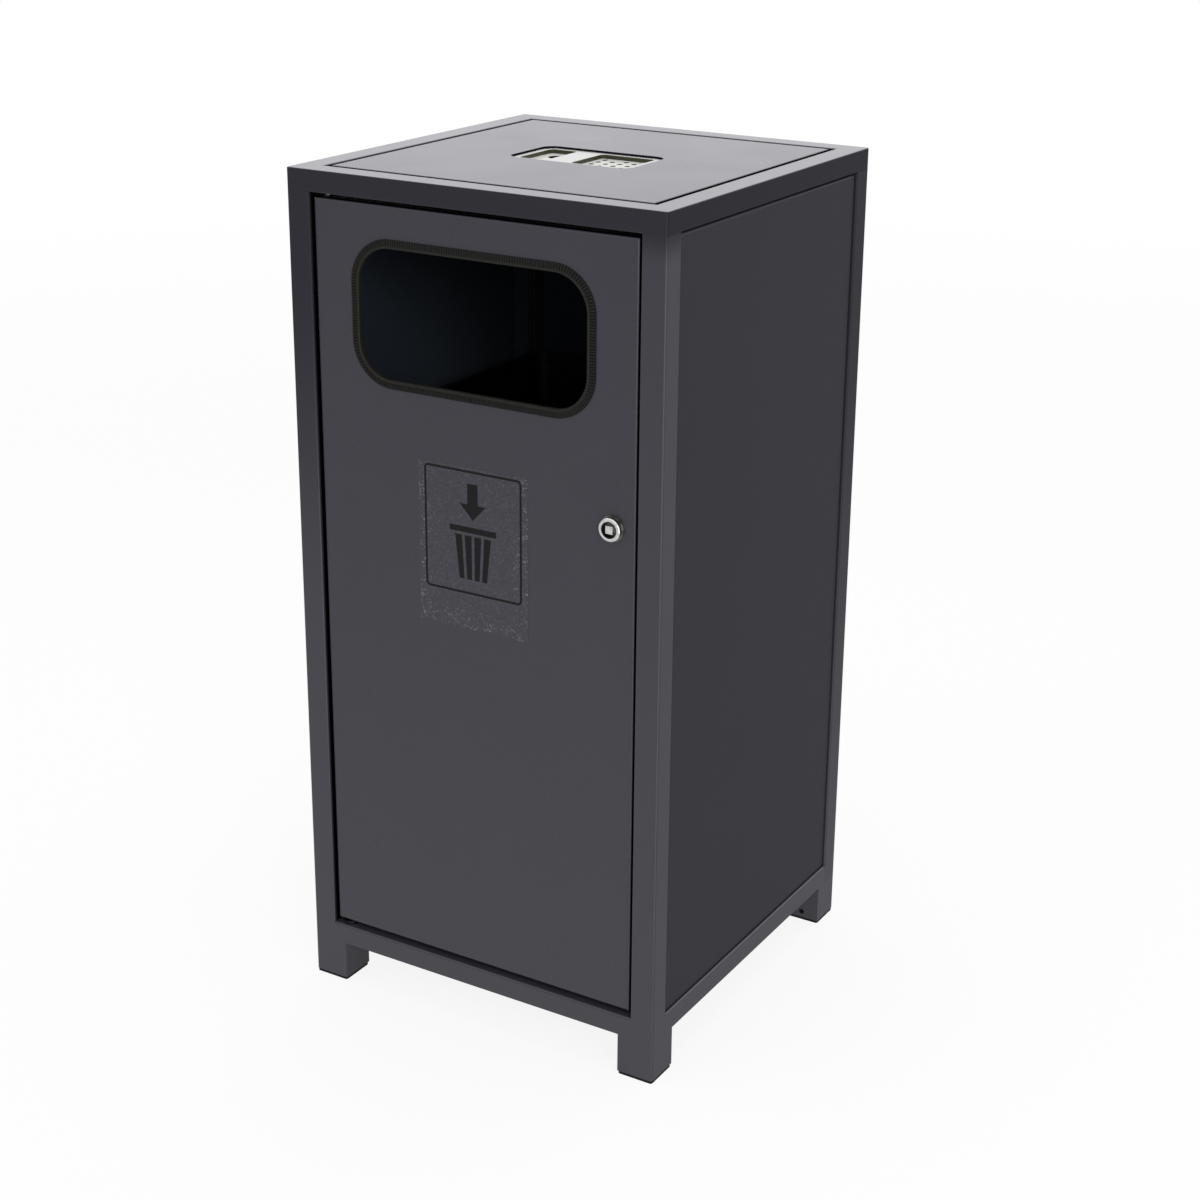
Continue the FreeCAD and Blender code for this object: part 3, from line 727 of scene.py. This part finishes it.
def front_view(node: str) -> tuple[Pair, Pair]:
    """Measures a node as it looks from the front.

    Args:
        node: The node's name.

    Returns:
        The X and Z of its middle, and half its width and half its height.
    """
    low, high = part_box(node)
    middle = ((low.x + high.x) / 2, (low.z + high.z) / 2)
    return middle, ((high.x - low.x) / 2, (high.z - low.z) / 2)


def add_object(name: str, data: bpy.types.ID) -> bpy.types.Object:
    """Adds an object to the scene.

    Args:
        name: The object's name.
        data: Its mesh, light or camera.

    Returns:
        The object.
    """
    made = bpy.data.objects.new(name, data)
    bpy.context.scene.collection.objects.link(made)
    return made


def outward(points: np.ndarray, faces: Faces) -> Faces:
    """Turns all faces of a closed shape round if they point inwards.

    The enclosed volume is a sixth of the sum, over a fan of triangles on each face, of the triple
    products of their corners, and it comes out negative where the faces point inwards.

    Args:
        points: The vertices.
        faces: The faces, as lists of vertex numbers.

    Returns:
        The faces, pointing outwards.
    """
    fans = [(f[0], f[i], f[i + 1]) for f in faces for i in range(1, len(f) - 1)]
    a, b, c = (points[np.array(column)] for column in zip(*fans))
    volume = np.einsum("ij,ij->i", a, np.cross(b, c)).sum()
    return faces if volume > 0 else [f[::-1] for f in faces]


def make_piece(name: str, points: np.ndarray, faces: Faces, finish: Finish,
               values: Mapping[str, np.ndarray]) -> bpy.types.Object:
    """Makes one new piece, which moves with the door.

    Args:
        name: The piece's name.
        points: Its vertices.
        faces: Its faces.
        finish: Its finish.
        values: Numbers on the vertices, by the names that the finish reads them by.

    Returns:
        The piece's object.
    """
    mesh = bpy.data.meshes.new(name)
    mesh.from_pydata(points.tolist(), [], faces)
    mesh.polygons.foreach_set("use_smooth", np.ones(len(faces), bool))
    mesh.set_sharp_from_angle(angle=SHARP_ANGLE)
    for label, numbers in values.items():
        mesh.attributes.new(label, "FLOAT", "POINT").data.foreach_set("value", numbers.ravel())
    mesh.materials.append(finish.material())
    piece = add_object(name, mesh)
    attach(piece, DOOR_BODY)
    LOG.info("made %s with %d faces", name, len(faces))
    return piece


def grid_faces(rows: int, columns: int, closed_rows: bool) -> Faces:
    """The faces of a tube of rings: each ring is closed, and the rings may close too.

    Args:
        rows: The number of rings.
        columns: The number of points on a ring.
        closed_rows: Whether the last ring joins the first. If it doesn't, both ends get a cap.

    Returns:
        Quads, and two caps on an open tube.
    """
    number = np.arange(rows * columns).reshape(rows, columns)
    start = number if closed_rows else number[:-1]
    after = np.roll(number, -1, axis=0) if closed_rows else number[1:]
    quads = np.stack([start, np.roll(start, -1, axis=1), np.roll(after, -1, axis=1), after], axis=-1)
    faces = quads.reshape(-1, 4).tolist()
    if not closed_rows:
        faces += [number[0, ::-1].tolist(), number[-1].tolist()]
    return faces


def round_corners(outline: Sequence[Sequence[float]], steps: int) -> np.ndarray:
    """Rounds the corners of a closed outline.

    Each corner becomes a parabolic arc between two points at the corner's own setback on its two sides:
    a point on it is (1-t)^2 start + 2t(1-t) corner + t^2 end.

    Args:
        outline: Rows of two coordinates and a setback.
        steps: The number of straight steps in each arc.

    Returns:
        The rounded outline, a row for each point.
    """
    table = np.array(outline, float)
    corner, setback = table[:, :2], table[:, 2:]
    back = np.roll(corner, 1, axis=0) - corner
    ahead = np.roll(corner, -1, axis=0) - corner
    start = corner + back / np.linalg.norm(back, axis=1, keepdims=True) * setback
    end = corner + ahead / np.linalg.norm(ahead, axis=1, keepdims=True) * setback
    t = np.linspace(0, 1, steps + 1)[None, :, None]
    arcs = (1 - t) ** 2 * start[:, None] + 2 * t * (1 - t) * corner[:, None] + t ** 2 * end[:, None]
    return arcs.reshape(-1, 2)


@dataclass(frozen=True)
class RoundedRectangle:
    """A path round a rectangle with round corners, anticlockwise from the middle of its lower side."""

    half_width: float
    half_height: float
    radius: float

    def lengths(self) -> np.ndarray:
        """Measures the runs of the path.

        Returns:
            The lengths of the nine runs: five straight ones and the four corners between them.
        """
        flat = self.half_width - self.radius
        side = 2 * (self.half_height - self.radius)
        arc = math.pi / 2 * self.radius
        return np.array([flat, arc, side, arc, 2 * flat, arc, side, arc, flat])

    def advance(self, run: np.ndarray, way: np.ndarray) -> tuple[np.ndarray, np.ndarray]:
        """Goes some way along runs of the path, of which every second one is a corner.

        On a straight run of heading h the step is t (cos h, sin h). On a corner it is
        r (sin(h + t/r) - sin h, cos h - cos(h + t/r)).

        Args:
            run: The runs' numbers.
            way: How far to go along each.

        Returns:
            The steps in X and Z, a row for each, and the headings at their ends.
        """
        corner = run % 2 == 1
        start = run // 2 * math.pi / 2
        end = start + np.where(corner, way / self.radius, 0.0)
        x = np.where(corner, self.radius * (np.sin(end) - np.sin(start)), way * np.cos(start))
        z = np.where(corner, self.radius * (np.cos(start) - np.cos(end)), way * np.sin(start))
        return np.stack([x, z], axis=1), end

    def walk(self, distance: np.ndarray) -> tuple[np.ndarray, np.ndarray]:
        """Finds points along the path: the outward normal at heading h is (sin h, -cos h).

        Args:
            distance: Distances along the path.

        Returns:
            The points and their outward normals, each with a row for every distance.
        """
        runs = self.lengths()
        ends = np.cumsum(runs)
        steps, _ = self.advance(np.arange(len(runs)), runs)
        starts = np.cumsum(np.vstack([[0.0, -self.half_height], steps[:-1]]), axis=0)
        run = np.clip(np.searchsorted(ends, distance, side="right"), 0, len(runs) - 1)
        step, heading = self.advance(run, distance - (ends - runs)[run])
        return starts[run] + step, np.stack([np.sin(heading), -np.cos(heading)], axis=1)


@dataclass
class Cabinet:
    """The frame, the panels and everything fixed to them."""

    # how far the painted shade in the gap reaches into the top ring's inner faces, and stays below its
    # upper face
    skin: float = 0.4 * MM
    # how far the painted shade before the rear rail and the painted shade below it reach into the rail
    rail_skin: Pair = (0.1 * MM, 0.2 * MM)
    # how far behind the front face the painted shade between the front posts begins and ends
    slot: Pair = (1.5 * MM, 15 * MM)
    slot_side: float = 6 * MM  # how far that painted shade reaches into the posts' inner faces
    slot_soft: float = 3.5 * MM  # the distance over which it thickens
    sheet_middle: float = 0.7 * MM  # the depth in a panel's sheet at which its inner side begins
    ring_side_shade: Colour = linear("242429")  # the ring's right side, darker than its front as painted shade
    left_post_fade: Pair = (0.42, 0.80)  # the levels between which the left front post darkens, painted shade
    rear_post_fade: Pair = (0.05, 0.75)  # the levels between which the rear posts darken, painted shade
    # how much clear gloss lies on the rear posts below and above that
    rear_post_lacquer: Pair = (0.65, 0.0)
    # the panels' colour, darker than the frame's as painted shade
    panel_colour: Colour = linear("333238")
    hidden_shade_colour: Colour = linear("28272b")  # the hidden parts' colour, darker than the outer paint as painted shade

    def lid_gap(self) -> tuple[Zone]:
        """The space inside the top ring, up to just below its upper face, where the paint is painted
        black as shade.
        """
        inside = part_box("top_rail_right")[0].x + self.skin
        return (Zone((-inside, -inside, 0.0), (inside, inside, BIN_TOP - self.skin)),)

    def rear_gap(self) -> tuple[Zone]:
        """The space before the rear rail and below it, where the paint is painted black as shade."""
        low, (before, below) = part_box("top_rail_rear")[0], self.rail_skin
        return (Zone((-FAR, low.y + before, low.z + below), (FAR, FAR, FAR), outside=True),)

    def door_gap(self) -> tuple[Zone]:
        """The space between the front posts, close behind the front face, where the paint is painted
        black as shade.

        Returns:
            The zone, alone.
        """
        low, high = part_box("post_front_left")
        side = high.x - self.slot_side
        start, end = (low.y + depth for depth in self.slot)
        return (Zone((side, start, 0.0), (-side, end, FAR), soft=self.slot_soft),)

    def dress(self) -> None:
        """Dresses the frame, the panels, the feet's caps and the small parts."""
        # painted shade: the gaps round the lid, by the rear rail and beside the door are painted black
        lid_gap = self.lid_gap()
        dress(RingCoat("ring_paint", gap=lid_gap), ["top_rail_front", "top_rail_left"])
        dress(RingCoat("ring_side_shade_paint", colour=self.ring_side_shade, gap=lid_gap), ["top_rail_right"])
        dress(RingCoat("ring_rear_paint", gap=self.rear_gap()), ["top_rail_rear"])
        lower_frame = side_names("bottom_rail") + corner_names("foot")
        # painted shade: the posts darken towards the top ring
        dress(PaintedShadeCoat("post_paint"), ["post_front_right"] + lower_frame)
        left_post = PaintedShadeCoat("left_post_paint", fade=self.left_post_fade, gap=self.door_gap())
        dress(left_post, ["post_front_left"])
        rear_post = PaintedShadeCoat("rear_post_paint", fade=self.rear_post_fade,
                               lacquer=self.rear_post_lacquer)
        dress(rear_post, ["post_rear_left", "post_rear_right"])
        hidden = PowderCoat("inner_paint", colour=self.hidden_shade_colour, gloss=0.1)
        dress(hidden, ["strike_bar", "floor_panel", "ashtray_carrier", "top_panel_rivets"])
        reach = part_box("right_panel")[1].x - self.sheet_middle
        panel = PanelCoat("panel_paint", colour=self.panel_colour, gloss=0.08, reach=reach)
        dress(panel, ["right_panel", "rear_panel", "left_panel"])
        dress(PowderCoat("top_paint", gloss=0.42, gloss_roughness=0.26, gap=lid_gap), ["top_panel"])
        dress(MouldedPlastic("cap_plastic"), corner_names("foot_cap"))
        dress(Rubber("buffer_rubber"), ["door_buffers"])
        rivets = [f"{panel}_panel_rivets" for panel in ("right", "rear", "left")]
        dress(ZincPlate("zinc_plate"), rivets + ["upper_hinge_pin"])
        # painted shade: the lower hinge pin and washer, which sit in the gap under the door, get a dark
        # zinc
        dress(ZincPlate("shaded_zinc", colour=linear("3c3d3e")), ["lower_hinge_pin", "hinge_washer"])


@dataclass
class EdgeTrim:
    """The ribbed rubber trim that grips the edge of the throw-in opening.

    Its section is carried along the opening's edge. Along the edge, the band outside the smooth lip
    sinks by depth (1 - cos(2 pi s / pitch)) / 2 between its ribs, where s is the distance walked.
    """

    corner_radius: float = 38 * MM  # the radius of the opening's corners
    lip: float = 2.0 * MM  # how far the trim reaches into the opening
    leg: float = 7.0 * MM  # how far it reaches over the door
    face: float = 2.5 * MM  # its thickness over the door
    sheet: float = 1.5 * MM  # the thickness of the door's sheet
    play: float = 0.05 * MM  # its clearance to the sheet
    rib_pitch: float = 2.8 * MM  # the distance from rib to rib
    rib_depth: float = 1.1 * MM  # the depth of the valleys between the ribs
    rib_wear: float = 0.7  # how pale the ribs are beside the lip; the valleys stay dark as painted shade
    smooth_band: float = 2.6 * MM  # the width of the smooth lip beside the ribs
    # the gap where the trim's two ends meet, in the middle of the lower side
    joint_gap: float = 0.5 * MM
    steps_per_rib: int = 6  # the number of rings in a rib
    finish: Finish = RibbedRubber("trim_rubber")

    def section(self) -> np.ndarray:
        """Draws the trim's section.

        Returns:
            Rows of the distance out from the opening's edge and the height above the door's face.
        """
        back = -self.sheet - self.face
        valley = self.smooth_band - self.lip
        outline = [
            (self.leg, self.play, 0.1 * MM),
            (self.leg, 0.8 * self.face, 1.0 * MM),
            (valley + 0.7 * MM, 0.95 * self.face, 0.3 * MM),
            (valley, 0.72 * self.face, 0.3 * MM),
            (valley - 0.7 * MM, self.face, 0.4 * MM),
            (-self.lip, self.face, 1.5 * MM),
            (-self.lip, back, 1.8 * MM),
            (self.leg, back, 1.2 * MM),
            (self.leg, -self.sheet - self.play, 0.1 * MM),
            (-self.play, -self.sheet - self.play, 0.02 * MM),
            (-self.play, self.play, 0.02 * MM),
        ]
        return round_corners(outline, 3)

    def build(self) -> bpy.types.Object:
        """Builds the trim in the place of its plain node.

        Returns:
            The trim.
        """
        (middle_x, middle_z), (half_width, half_height) = front_view("opening_trim")
        door_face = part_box("opening_trim")[0].y + self.face
        edge = RoundedRectangle(half_width - self.leg, half_height - self.leg, self.corner_radius)
        total = edge.lengths().sum()
        ribs = round(total / self.rib_pitch)
        end = self.joint_gap / 2
        walked = np.linspace(end, total - end, ribs * self.steps_per_rib + 1)
        path, normal = edge.walk(walked)
        section = self.section()
        out, height = section[None, :, 0], section[None, :, 1]
        valley = 0.5 - 0.5 * np.cos(2 * math.pi * walked / total * ribs)[:, None]
        ribbed = np.clip((out - (self.smooth_band - self.lip)) / MM, 0, 1)
        above = np.clip(height / self.face, 0, 1)
        sunk = valley * ribbed * above
        # painted shade: the valleys get a crest of 0 and stay dark
        crest = 1 - ribbed * (1 - self.rib_wear * (1 - valley))
        height = height - self.rib_depth * sunk
        out = out - 0.5 * self.rib_depth * sunk
        points = np.empty((*np.broadcast(out, valley).shape, 3))
        points[..., 0] = middle_x + path[:, :1] + normal[:, :1] * out
        points[..., 1] = door_face - height
        points[..., 2] = middle_z + path[:, 1:] + normal[:, 1:] * out
        flat = points.reshape(-1, 3)
        faces = outward(flat, grid_faces(*points.shape[:2], closed_rows=False))
        trim = make_piece("ribbed_trim", flat, faces, self.finish, {"crest": crest})
        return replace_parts(trim, "opening_trim")


@dataclass
class DoorSign:
    """The label on the door: the film, and on it a printed bin under an arrow within a frame line."""

    ink_thickness: float = 0.03 * MM
    line: float = 2.4 * MM  # the width of the frame line
    line_half: Pair = (55 * MM, 62 * MM)  # half the frame's width and half its height
    line_corner: float = 4 * MM  # the radius of the frame's corners
    line_steps: int = 240  # the number of straight steps in the frame
    frame_rise: float = 16.5 * MM  # how far the frame's middle is above the film's
    # the half width, the height and the level of the bin's rim
    rim: tuple[float, float, float] = (27 * MM, 6 * MM, 0 * MM)
    body_top: float = 22.5 * MM  # half the width of the bin's body at its top
    body_bottom: float = 17.5 * MM  # half the width of the bin's body at its foot
    body_levels: Pair = (-48 * MM, -3 * MM)  # the levels of the body's foot and top
    slats: int = 4
    slat_gap: float = 3.2 * MM
    # the arrow's shaft half width, head half width and its levels: tip, head and tail
    arrow: tuple[float, float, float, float, float] = (6 * MM, 15 * MM, 13 * MM, 29 * MM, 50 * MM)

    def prism(self, outline: Sequence[Sequence[float]], face: float) -> Shape:
        """A flat patch of ink: an outline on the film and its copy at the ink's surface.

        Args:
            outline: The patch's corners, as X and Z.
            face: The film's surface.

        Returns:
            The points and the faces.
        """
        flat = np.array(outline, float)
        levels = np.repeat([face, face - self.ink_thickness], len(flat))
        points = np.stack([np.tile(flat[:, 0], 2), levels, np.tile(flat[:, 1], 2)], axis=1)
        return points, outward(points, grid_faces(2, len(flat), closed_rows=False))

    def frame_line(self, face: float) -> Shape:
        """The frame line: a flat rectangular section carried round a rounded rectangle.

        Args:
            face: The film's surface.

        Returns:
            The points and the faces.
        """
        edge = RoundedRectangle(*self.line_half, self.line_corner)
        total = edge.lengths().sum()
        path, normal = edge.walk(np.arange(self.line_steps) / self.line_steps * total)
        out = np.array([-0.5, 0.5, 0.5, -0.5]) * self.line
        level = np.array([face, face, face - self.ink_thickness, face - self.ink_thickness])
        points = np.empty((len(path), 4, 3))
        points[..., 0] = path[:, :1] + normal[:, :1] * out
        points[..., 1] = level
        points[..., 2] = path[:, 1:] + normal[:, 1:] * out
        flat = points.reshape(-1, 3)
        return flat, outward(flat, grid_faces(*points.shape[:2], closed_rows=True))

    def outlines(self) -> list[list[Pair]]:
        """Draws the patches of the sign, about the frame's middle.

        Returns:
            The corners of the rim, the arrow and the slats.
        """
        half, height, level = self.rim
        foot, top = self.body_levels
        shaft, head, tip, barb, tail = self.arrow
        rim = [(-half, level), (half, level), (half, level + height), (-half, level + height)]
        arrow = [(0, tip), (head, barb), (shaft, barb), (shaft, tail),
                 (-shaft, tail), (-shaft, barb), (-head, barb)]
        shares = np.linspace(-1, 1, self.slats + 1)
        inset = self.slat_gap / 2
        slats = []
        for left, right in zip(shares[:-1], shares[1:]):
            lower = (left * self.body_bottom + inset, right * self.body_bottom - inset)
            upper = (right * self.body_top - inset, left * self.body_top + inset)
            slats.append([(x, foot) for x in lower] + [(x, top) for x in upper])
        return [rim, arrow, *slats]

    def build(self) -> bpy.types.Object:
        """Dresses the film and prints the sign.

        Returns:
            The printed sign.
        """
        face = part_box("door_label")[0].y
        middle, half = front_view("door_label")
        dress(LabelFilm("clear_film", middle=middle, half=half), ["door_label"])
        parts = [self.frame_line(face)] + [self.prism(outline, face) for outline in self.outlines()]
        starts = np.cumsum([0] + [len(points) for points, _ in parts[:-1]])
        points = np.concatenate([points for points, _ in parts])
        points += np.array([middle[0], 0.0, middle[1] + self.frame_rise])
        faces = [[int(i + start) for i in corners]
                 for start, (_, part) in zip(starts, parts) for corners in part]
        return make_piece("label_print", points, faces, PrintingInk("label_ink"), {})


@dataclass
class Door:
    """The door with its trim, its label, its hinge bushes and its lock."""

    edge: Pair = (0.7 * MM, 7.0 * MM)  # the width and the depth of the door's edge that is painted black as shade
    # the distances over which that painted shade ends, in width and in depth
    edge_soft: Pair = (0.4 * MM, 2.0 * MM)
    lock_rim: float = 1.0 * MM  # the depth of the lock's bright front
    trim: EdgeTrim = field(default_factory=EdgeTrim)  # the trim of the throw-in opening
    sign: DoorSign = field(default_factory=DoorSign)

    def build(self) -> None:
        """Builds the trim and the sign."""
        self.trim.build()
        self.sign.build()

    def dress(self) -> None:
        """Dresses the door, its bushes and its lock."""
        low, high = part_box("door_skin")
        width, depth = self.edge
        # painted shade: the door's edges, seen in the gaps round it, are painted black
        rim = Zone((low.x + width, -FAR, low.z + width), (high.x - width, FAR, high.z - width),
                   soft=self.edge_soft[0], outside=True)
        front = Zone((-FAR, -FAR, -FAR), (FAR, low.y + depth, FAR), soft=self.edge_soft[1])
        dress(PowderCoat("door_paint", gloss_roughness=0.28, gap=(rim, front)), ["door_skin"])
        dress(MouldedPlastic("bush_plastic"), ["upper_hinge_bush", "lower_hinge_bush"])
        axis, _ = front_view("lock_housing")
        bright_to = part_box("lock_housing")[0].y + self.lock_rim
        dress(Chrome("lock_chrome", axis=axis, bright_to=bright_to), ["lock_housing", "lock_plug"])
        dress(ZincPlate("zinc_plate"), ["lock_nut", "lock_cam", "cam_screw"])


@dataclass
class Liner:
    """The lift-out liner with its bail."""

    def dress(self) -> None:
        """Dresses the bucket, the ears, their rivets and the bail."""
        dress(Galvanised("liner_zinc"), ["liner_bucket"])
        dress(ZincPlate("zinc_plate"), ["bail_ears", "ear_rivets", "bail_handle"])


@dataclass
class Ashtray:
    """The ashtray plate and the ash box under it."""

    sheet: float = 0.8 * MM  # the thickness of their sheet
    box_rim: float = 4.5 * MM  # how far the box's rim stands out from its walls

    def dress(self) -> None:
        """Dresses the plate with stained wells and the box with soot inside."""
        low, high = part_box("ashtray_insert")
        dress(PressedSteel("ashtray_steel", floor=low.z + self.sheet, rim=high.z), ["ashtray_insert"])
        low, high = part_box("ash_box")
        inset = self.box_rim + self.sheet / 2
        half = ((high.x - low.x) / 2 - inset, (high.y - low.y) / 2 - inset)
        dress(SootySteel("ash_box_steel", stained=linear("1b1a18"), gloss_roughness=0.3, half=half,
                         floor=low.z + self.sheet / 2), ["ash_box"])


@dataclass(frozen=True)
class Lamp:
    """A square soft lamp."""

    name: str
    place: Place  # where it hangs
    aim: Place  # what it points at
    size: float  # the length of its side
    power: float  # its power in watts

    def hang(self) -> None:
        """Hangs the lamp, which no gloss mirrors."""
        data = bpy.data.lights.new(self.name, "AREA")
        data.size = self.size
        data.energy = self.power
        lamp = add_object(self.name, data)
        lamp.visible_glossy = False
        lamp.matrix_world = looking(np.array(self.place), np.array(self.aim), 0.0)


@dataclass
class Studio:
    """The floor, the lights and the room round the bin."""

    floor_radius: float = 14.0
    floor_sides: int = 96
    floor_colour: Colour = (0.9, 0.9, 0.9)
    floor_glow: float = 0.88  # how much of the floor is plain white to the camera close to the bin
    floor_fade: Pair = (1.5, 5.0)  # the distances between which it turns plain white altogether
    ambient: float = 0.7  # the brightness of the room for plain light
    # what gloss mirrors from the front: the floor far off, and the room above it
    mirrored_front: Pair = (0.28, 0.35)
    # what gloss mirrors from behind: the floor far off, and the white wall above it
    mirrored_behind: Pair = (0.34, 1.35)
    turn: float = 0.35  # how far to the front and the back a direction turns from one to the other
    horizon: float = 0.06  # how far down and up it turns from the floor to the room
    mirrored_near: float = 0.5  # how much brighter the floor is close to the bin
    # how far down the floor starts to be brighter, and how far down it is brightest
    near_band: Pair = (0.12, 0.62)
    overhead: float = 0.8  # how much brighter the white ceiling is
    overhead_band: Pair = (0.45, 0.75)  # how far up the ceiling starts, and how far up it is brightest
    reflector: float = 1.5  # how much brighter the white card on the right of the camera is
    reflector_side: Pair = (0.82, -0.57)  # the X and Y of the direction to that card
    reflector_band: Pair = (0.78, 0.96)  # how far that way the card starts, and how far it is brightest
    tint: Colour = (0.965, 0.96, 1.0)  # the colour of what gloss mirrors
    lamps: tuple[Lamp, ...] = (
        Lamp("key_lamp", (-1.6, -2.6, 2.4), (0.0, 0.0, 0.45), 2.2, 16.0),
        Lamp("fill_lamp", (2.1, -2.2, 1.7), (0.0, 0.0, 0.6), 1.0, 26.0),
        Lamp("side_lamp", (2.6, -0.6, 1.8), (0.0, 0.0, 0.45), 1.8, 2.0),
        Lamp("top_lamp", (0.0, 0.6, 3.0), (0.0, 0.0, 0.8), 2.4, 25.0),
    )

    def background_rays(self, graph: Graph) -> Socket:
        """One for rays from the camera, from gloss and through glass, and nought for plain light."""
        camera, gloss, glass = (graph.ray(kind) for kind in ("Camera", "Glossy", "Transmission"))
        return (camera + gloss + glass).at_most(1.0)

    def build_floor(self) -> None:
        """Lays a round floor that looks white and still takes the bin's shadow.

        A point of the floor is radius (cos a, sin a).
        """
        angle = np.arange(self.floor_sides) / self.floor_sides * 2 * math.pi
        points = np.stack([np.cos(angle), np.sin(angle), 0 * angle], axis=1) * self.floor_radius
        mesh = bpy.data.meshes.new("studio_floor")
        mesh.from_pydata(points.tolist(), [], [list(range(len(points)))])
        material = bpy.data.materials.new("studio_floor")
        graph = Graph(material)
        paper = graph.node("ShaderNodeBsdfDiffuse", {}, {"Color": (*self.floor_colour, 1.0)})
        white = graph.node("ShaderNodeEmission", {}, {"Color": (1.0, 1.0, 1.0, 1.0), "Strength": 1.0})
        away = graph.node("ShaderNodeVectorMath", {"operation": "LENGTH"}, {0: graph.place()}, "Value")
        glow = self.floor_glow + (1.0 - self.floor_glow) * away.ramp(*self.floor_fade)
        share = self.background_rays(graph) * glow
        mixed = graph.node("ShaderNodeMixShader", {}, {0: share, 1: paper, 2: white})
        graph.node("ShaderNodeOutputMaterial", {}, {"Surface": mixed})
        mesh.materials.append(material)
        floor = add_object("studio_floor", mesh)
        floor.visible_glossy = False

    def build_room(self) -> None:
        """Fills the room with soft light, white to the camera.

        Gloss mirrors a floor and a room above it, each brighter behind the bin than in front, a floor
        that brightens towards the bin's foot, a white ceiling and a white card on the right.
        """
        world = bpy.data.worlds.new("studio_room")
        bpy.context.scene.world = world
        graph = Graph(world)
        x, y, z = graph.axes(graph.node("ShaderNodeTexCoord", {}, {}, "Generated"))
        behind = y.ramp(-self.turn, self.turn)
        floor, room = (front + (back - front) * behind
                       for front, back in zip(self.mirrored_front, self.mirrored_behind))
        above = z.ramp(-self.horizon, self.horizon)
        near = (0.0 - z).ramp(*self.near_band) * (1.0 - behind) * self.mirrored_near
        card_way = x * self.reflector_side[0] + y * self.reflector_side[1]
        card = card_way.ramp(*self.reflector_band) * self.reflector
        ceiling = z.ramp(*self.overhead_band) * self.overhead
        gloss = floor + (room - floor) * above + near + card + ceiling
        camera, mirror = graph.ray("Camera"), graph.ray("Glossy")
        seen = self.background_rays(graph)
        level = (gloss * (1.0 - camera) + camera) * seen + (1.0 - seen) * self.ambient
        colour = graph.mix(mirror, (1.0, 1.0, 1.0), self.tint)
        back = graph.node("ShaderNodeBackground", {}, {"Color": colour, "Strength": level})
        graph.node("ShaderNodeOutputWorld", {}, {"Surface": back})

    def build(self) -> None:
        """Builds the floor, the room and the lamps."""
        self.build_floor()
        self.build_room()
        for lamp in self.lamps:
            lamp.hang()


def looking(place: np.ndarray, aim: np.ndarray, roll: float) -> Matrix:
    """The matrix of a camera or lamp that looks from one point at another.

    Args:
        place: Where it stands.
        aim: What it looks at.
        roll: Its turn about its own axis, in radians.

    Returns:
        The matrix, with the view along -Z and up along +Y.
    """
    back = (place - aim) / np.linalg.norm(place - aim)
    right = np.cross([0.0, 0.0, 1.0], back)
    right /= np.linalg.norm(right)
    up = np.cross(back, right)
    turned = np.stack([right * math.cos(roll) + up * math.sin(roll),
                       up * math.cos(roll) - right * math.sin(roll), back], axis=1)
    matrix = np.eye(4)
    matrix[:3, :3] = turned
    matrix[:3, 3] = place
    return Matrix(matrix.tolist())


@dataclass
class Viewpoint:
    """The camera, at the photograph's viewing angle."""

    azimuth: float = 30.871  # its turn round the bin from the front, in degrees
    elevation: float = 19.349  # its height above the horizon, in degrees
    roll: float = 0.500  # its turn about its own axis, in degrees
    distance: float = 2.2620  # its distance from the aim
    aim: Place = (0.0189, 0.0, 0.4784)  # what it looks at
    sensor: float = 36.0  # the width of its frame, in millimetres
    lens: float = 64.824  # its focal length, in millimetres
    shift: float = -0.0500  # the frame's shift upwards, as a share of its width

    def build(self) -> None:
        """Sets up the scene's camera and its plain view."""
        a, e = math.radians(self.azimuth), math.radians(self.elevation)
        back = np.array([math.sin(a) * math.cos(e), -math.cos(a) * math.cos(e), math.sin(e)])
        data = bpy.data.cameras.new("viewpoint")
        data.sensor_width = self.sensor
        data.lens = self.lens
        data.shift_y = self.shift
        camera = add_object("viewpoint", data)
        aim = np.array(self.aim)
        camera.matrix_world = looking(aim + back * self.distance, aim, math.radians(self.roll))
        bpy.context.scene.camera = camera
        bpy.context.scene.view_settings.view_transform = "Standard"


def main() -> None:
    """Builds and dresses the bin, then the studio and the camera."""
    logging.basicConfig(level=logging.INFO)
    Cabinet().dress()
    door = Door()
    door.build()
    door.dress()
    Liner().dress()
    Ashtray().dress()
    Studio().build()
    Viewpoint().build()


if __name__ == "__main__":
    main()
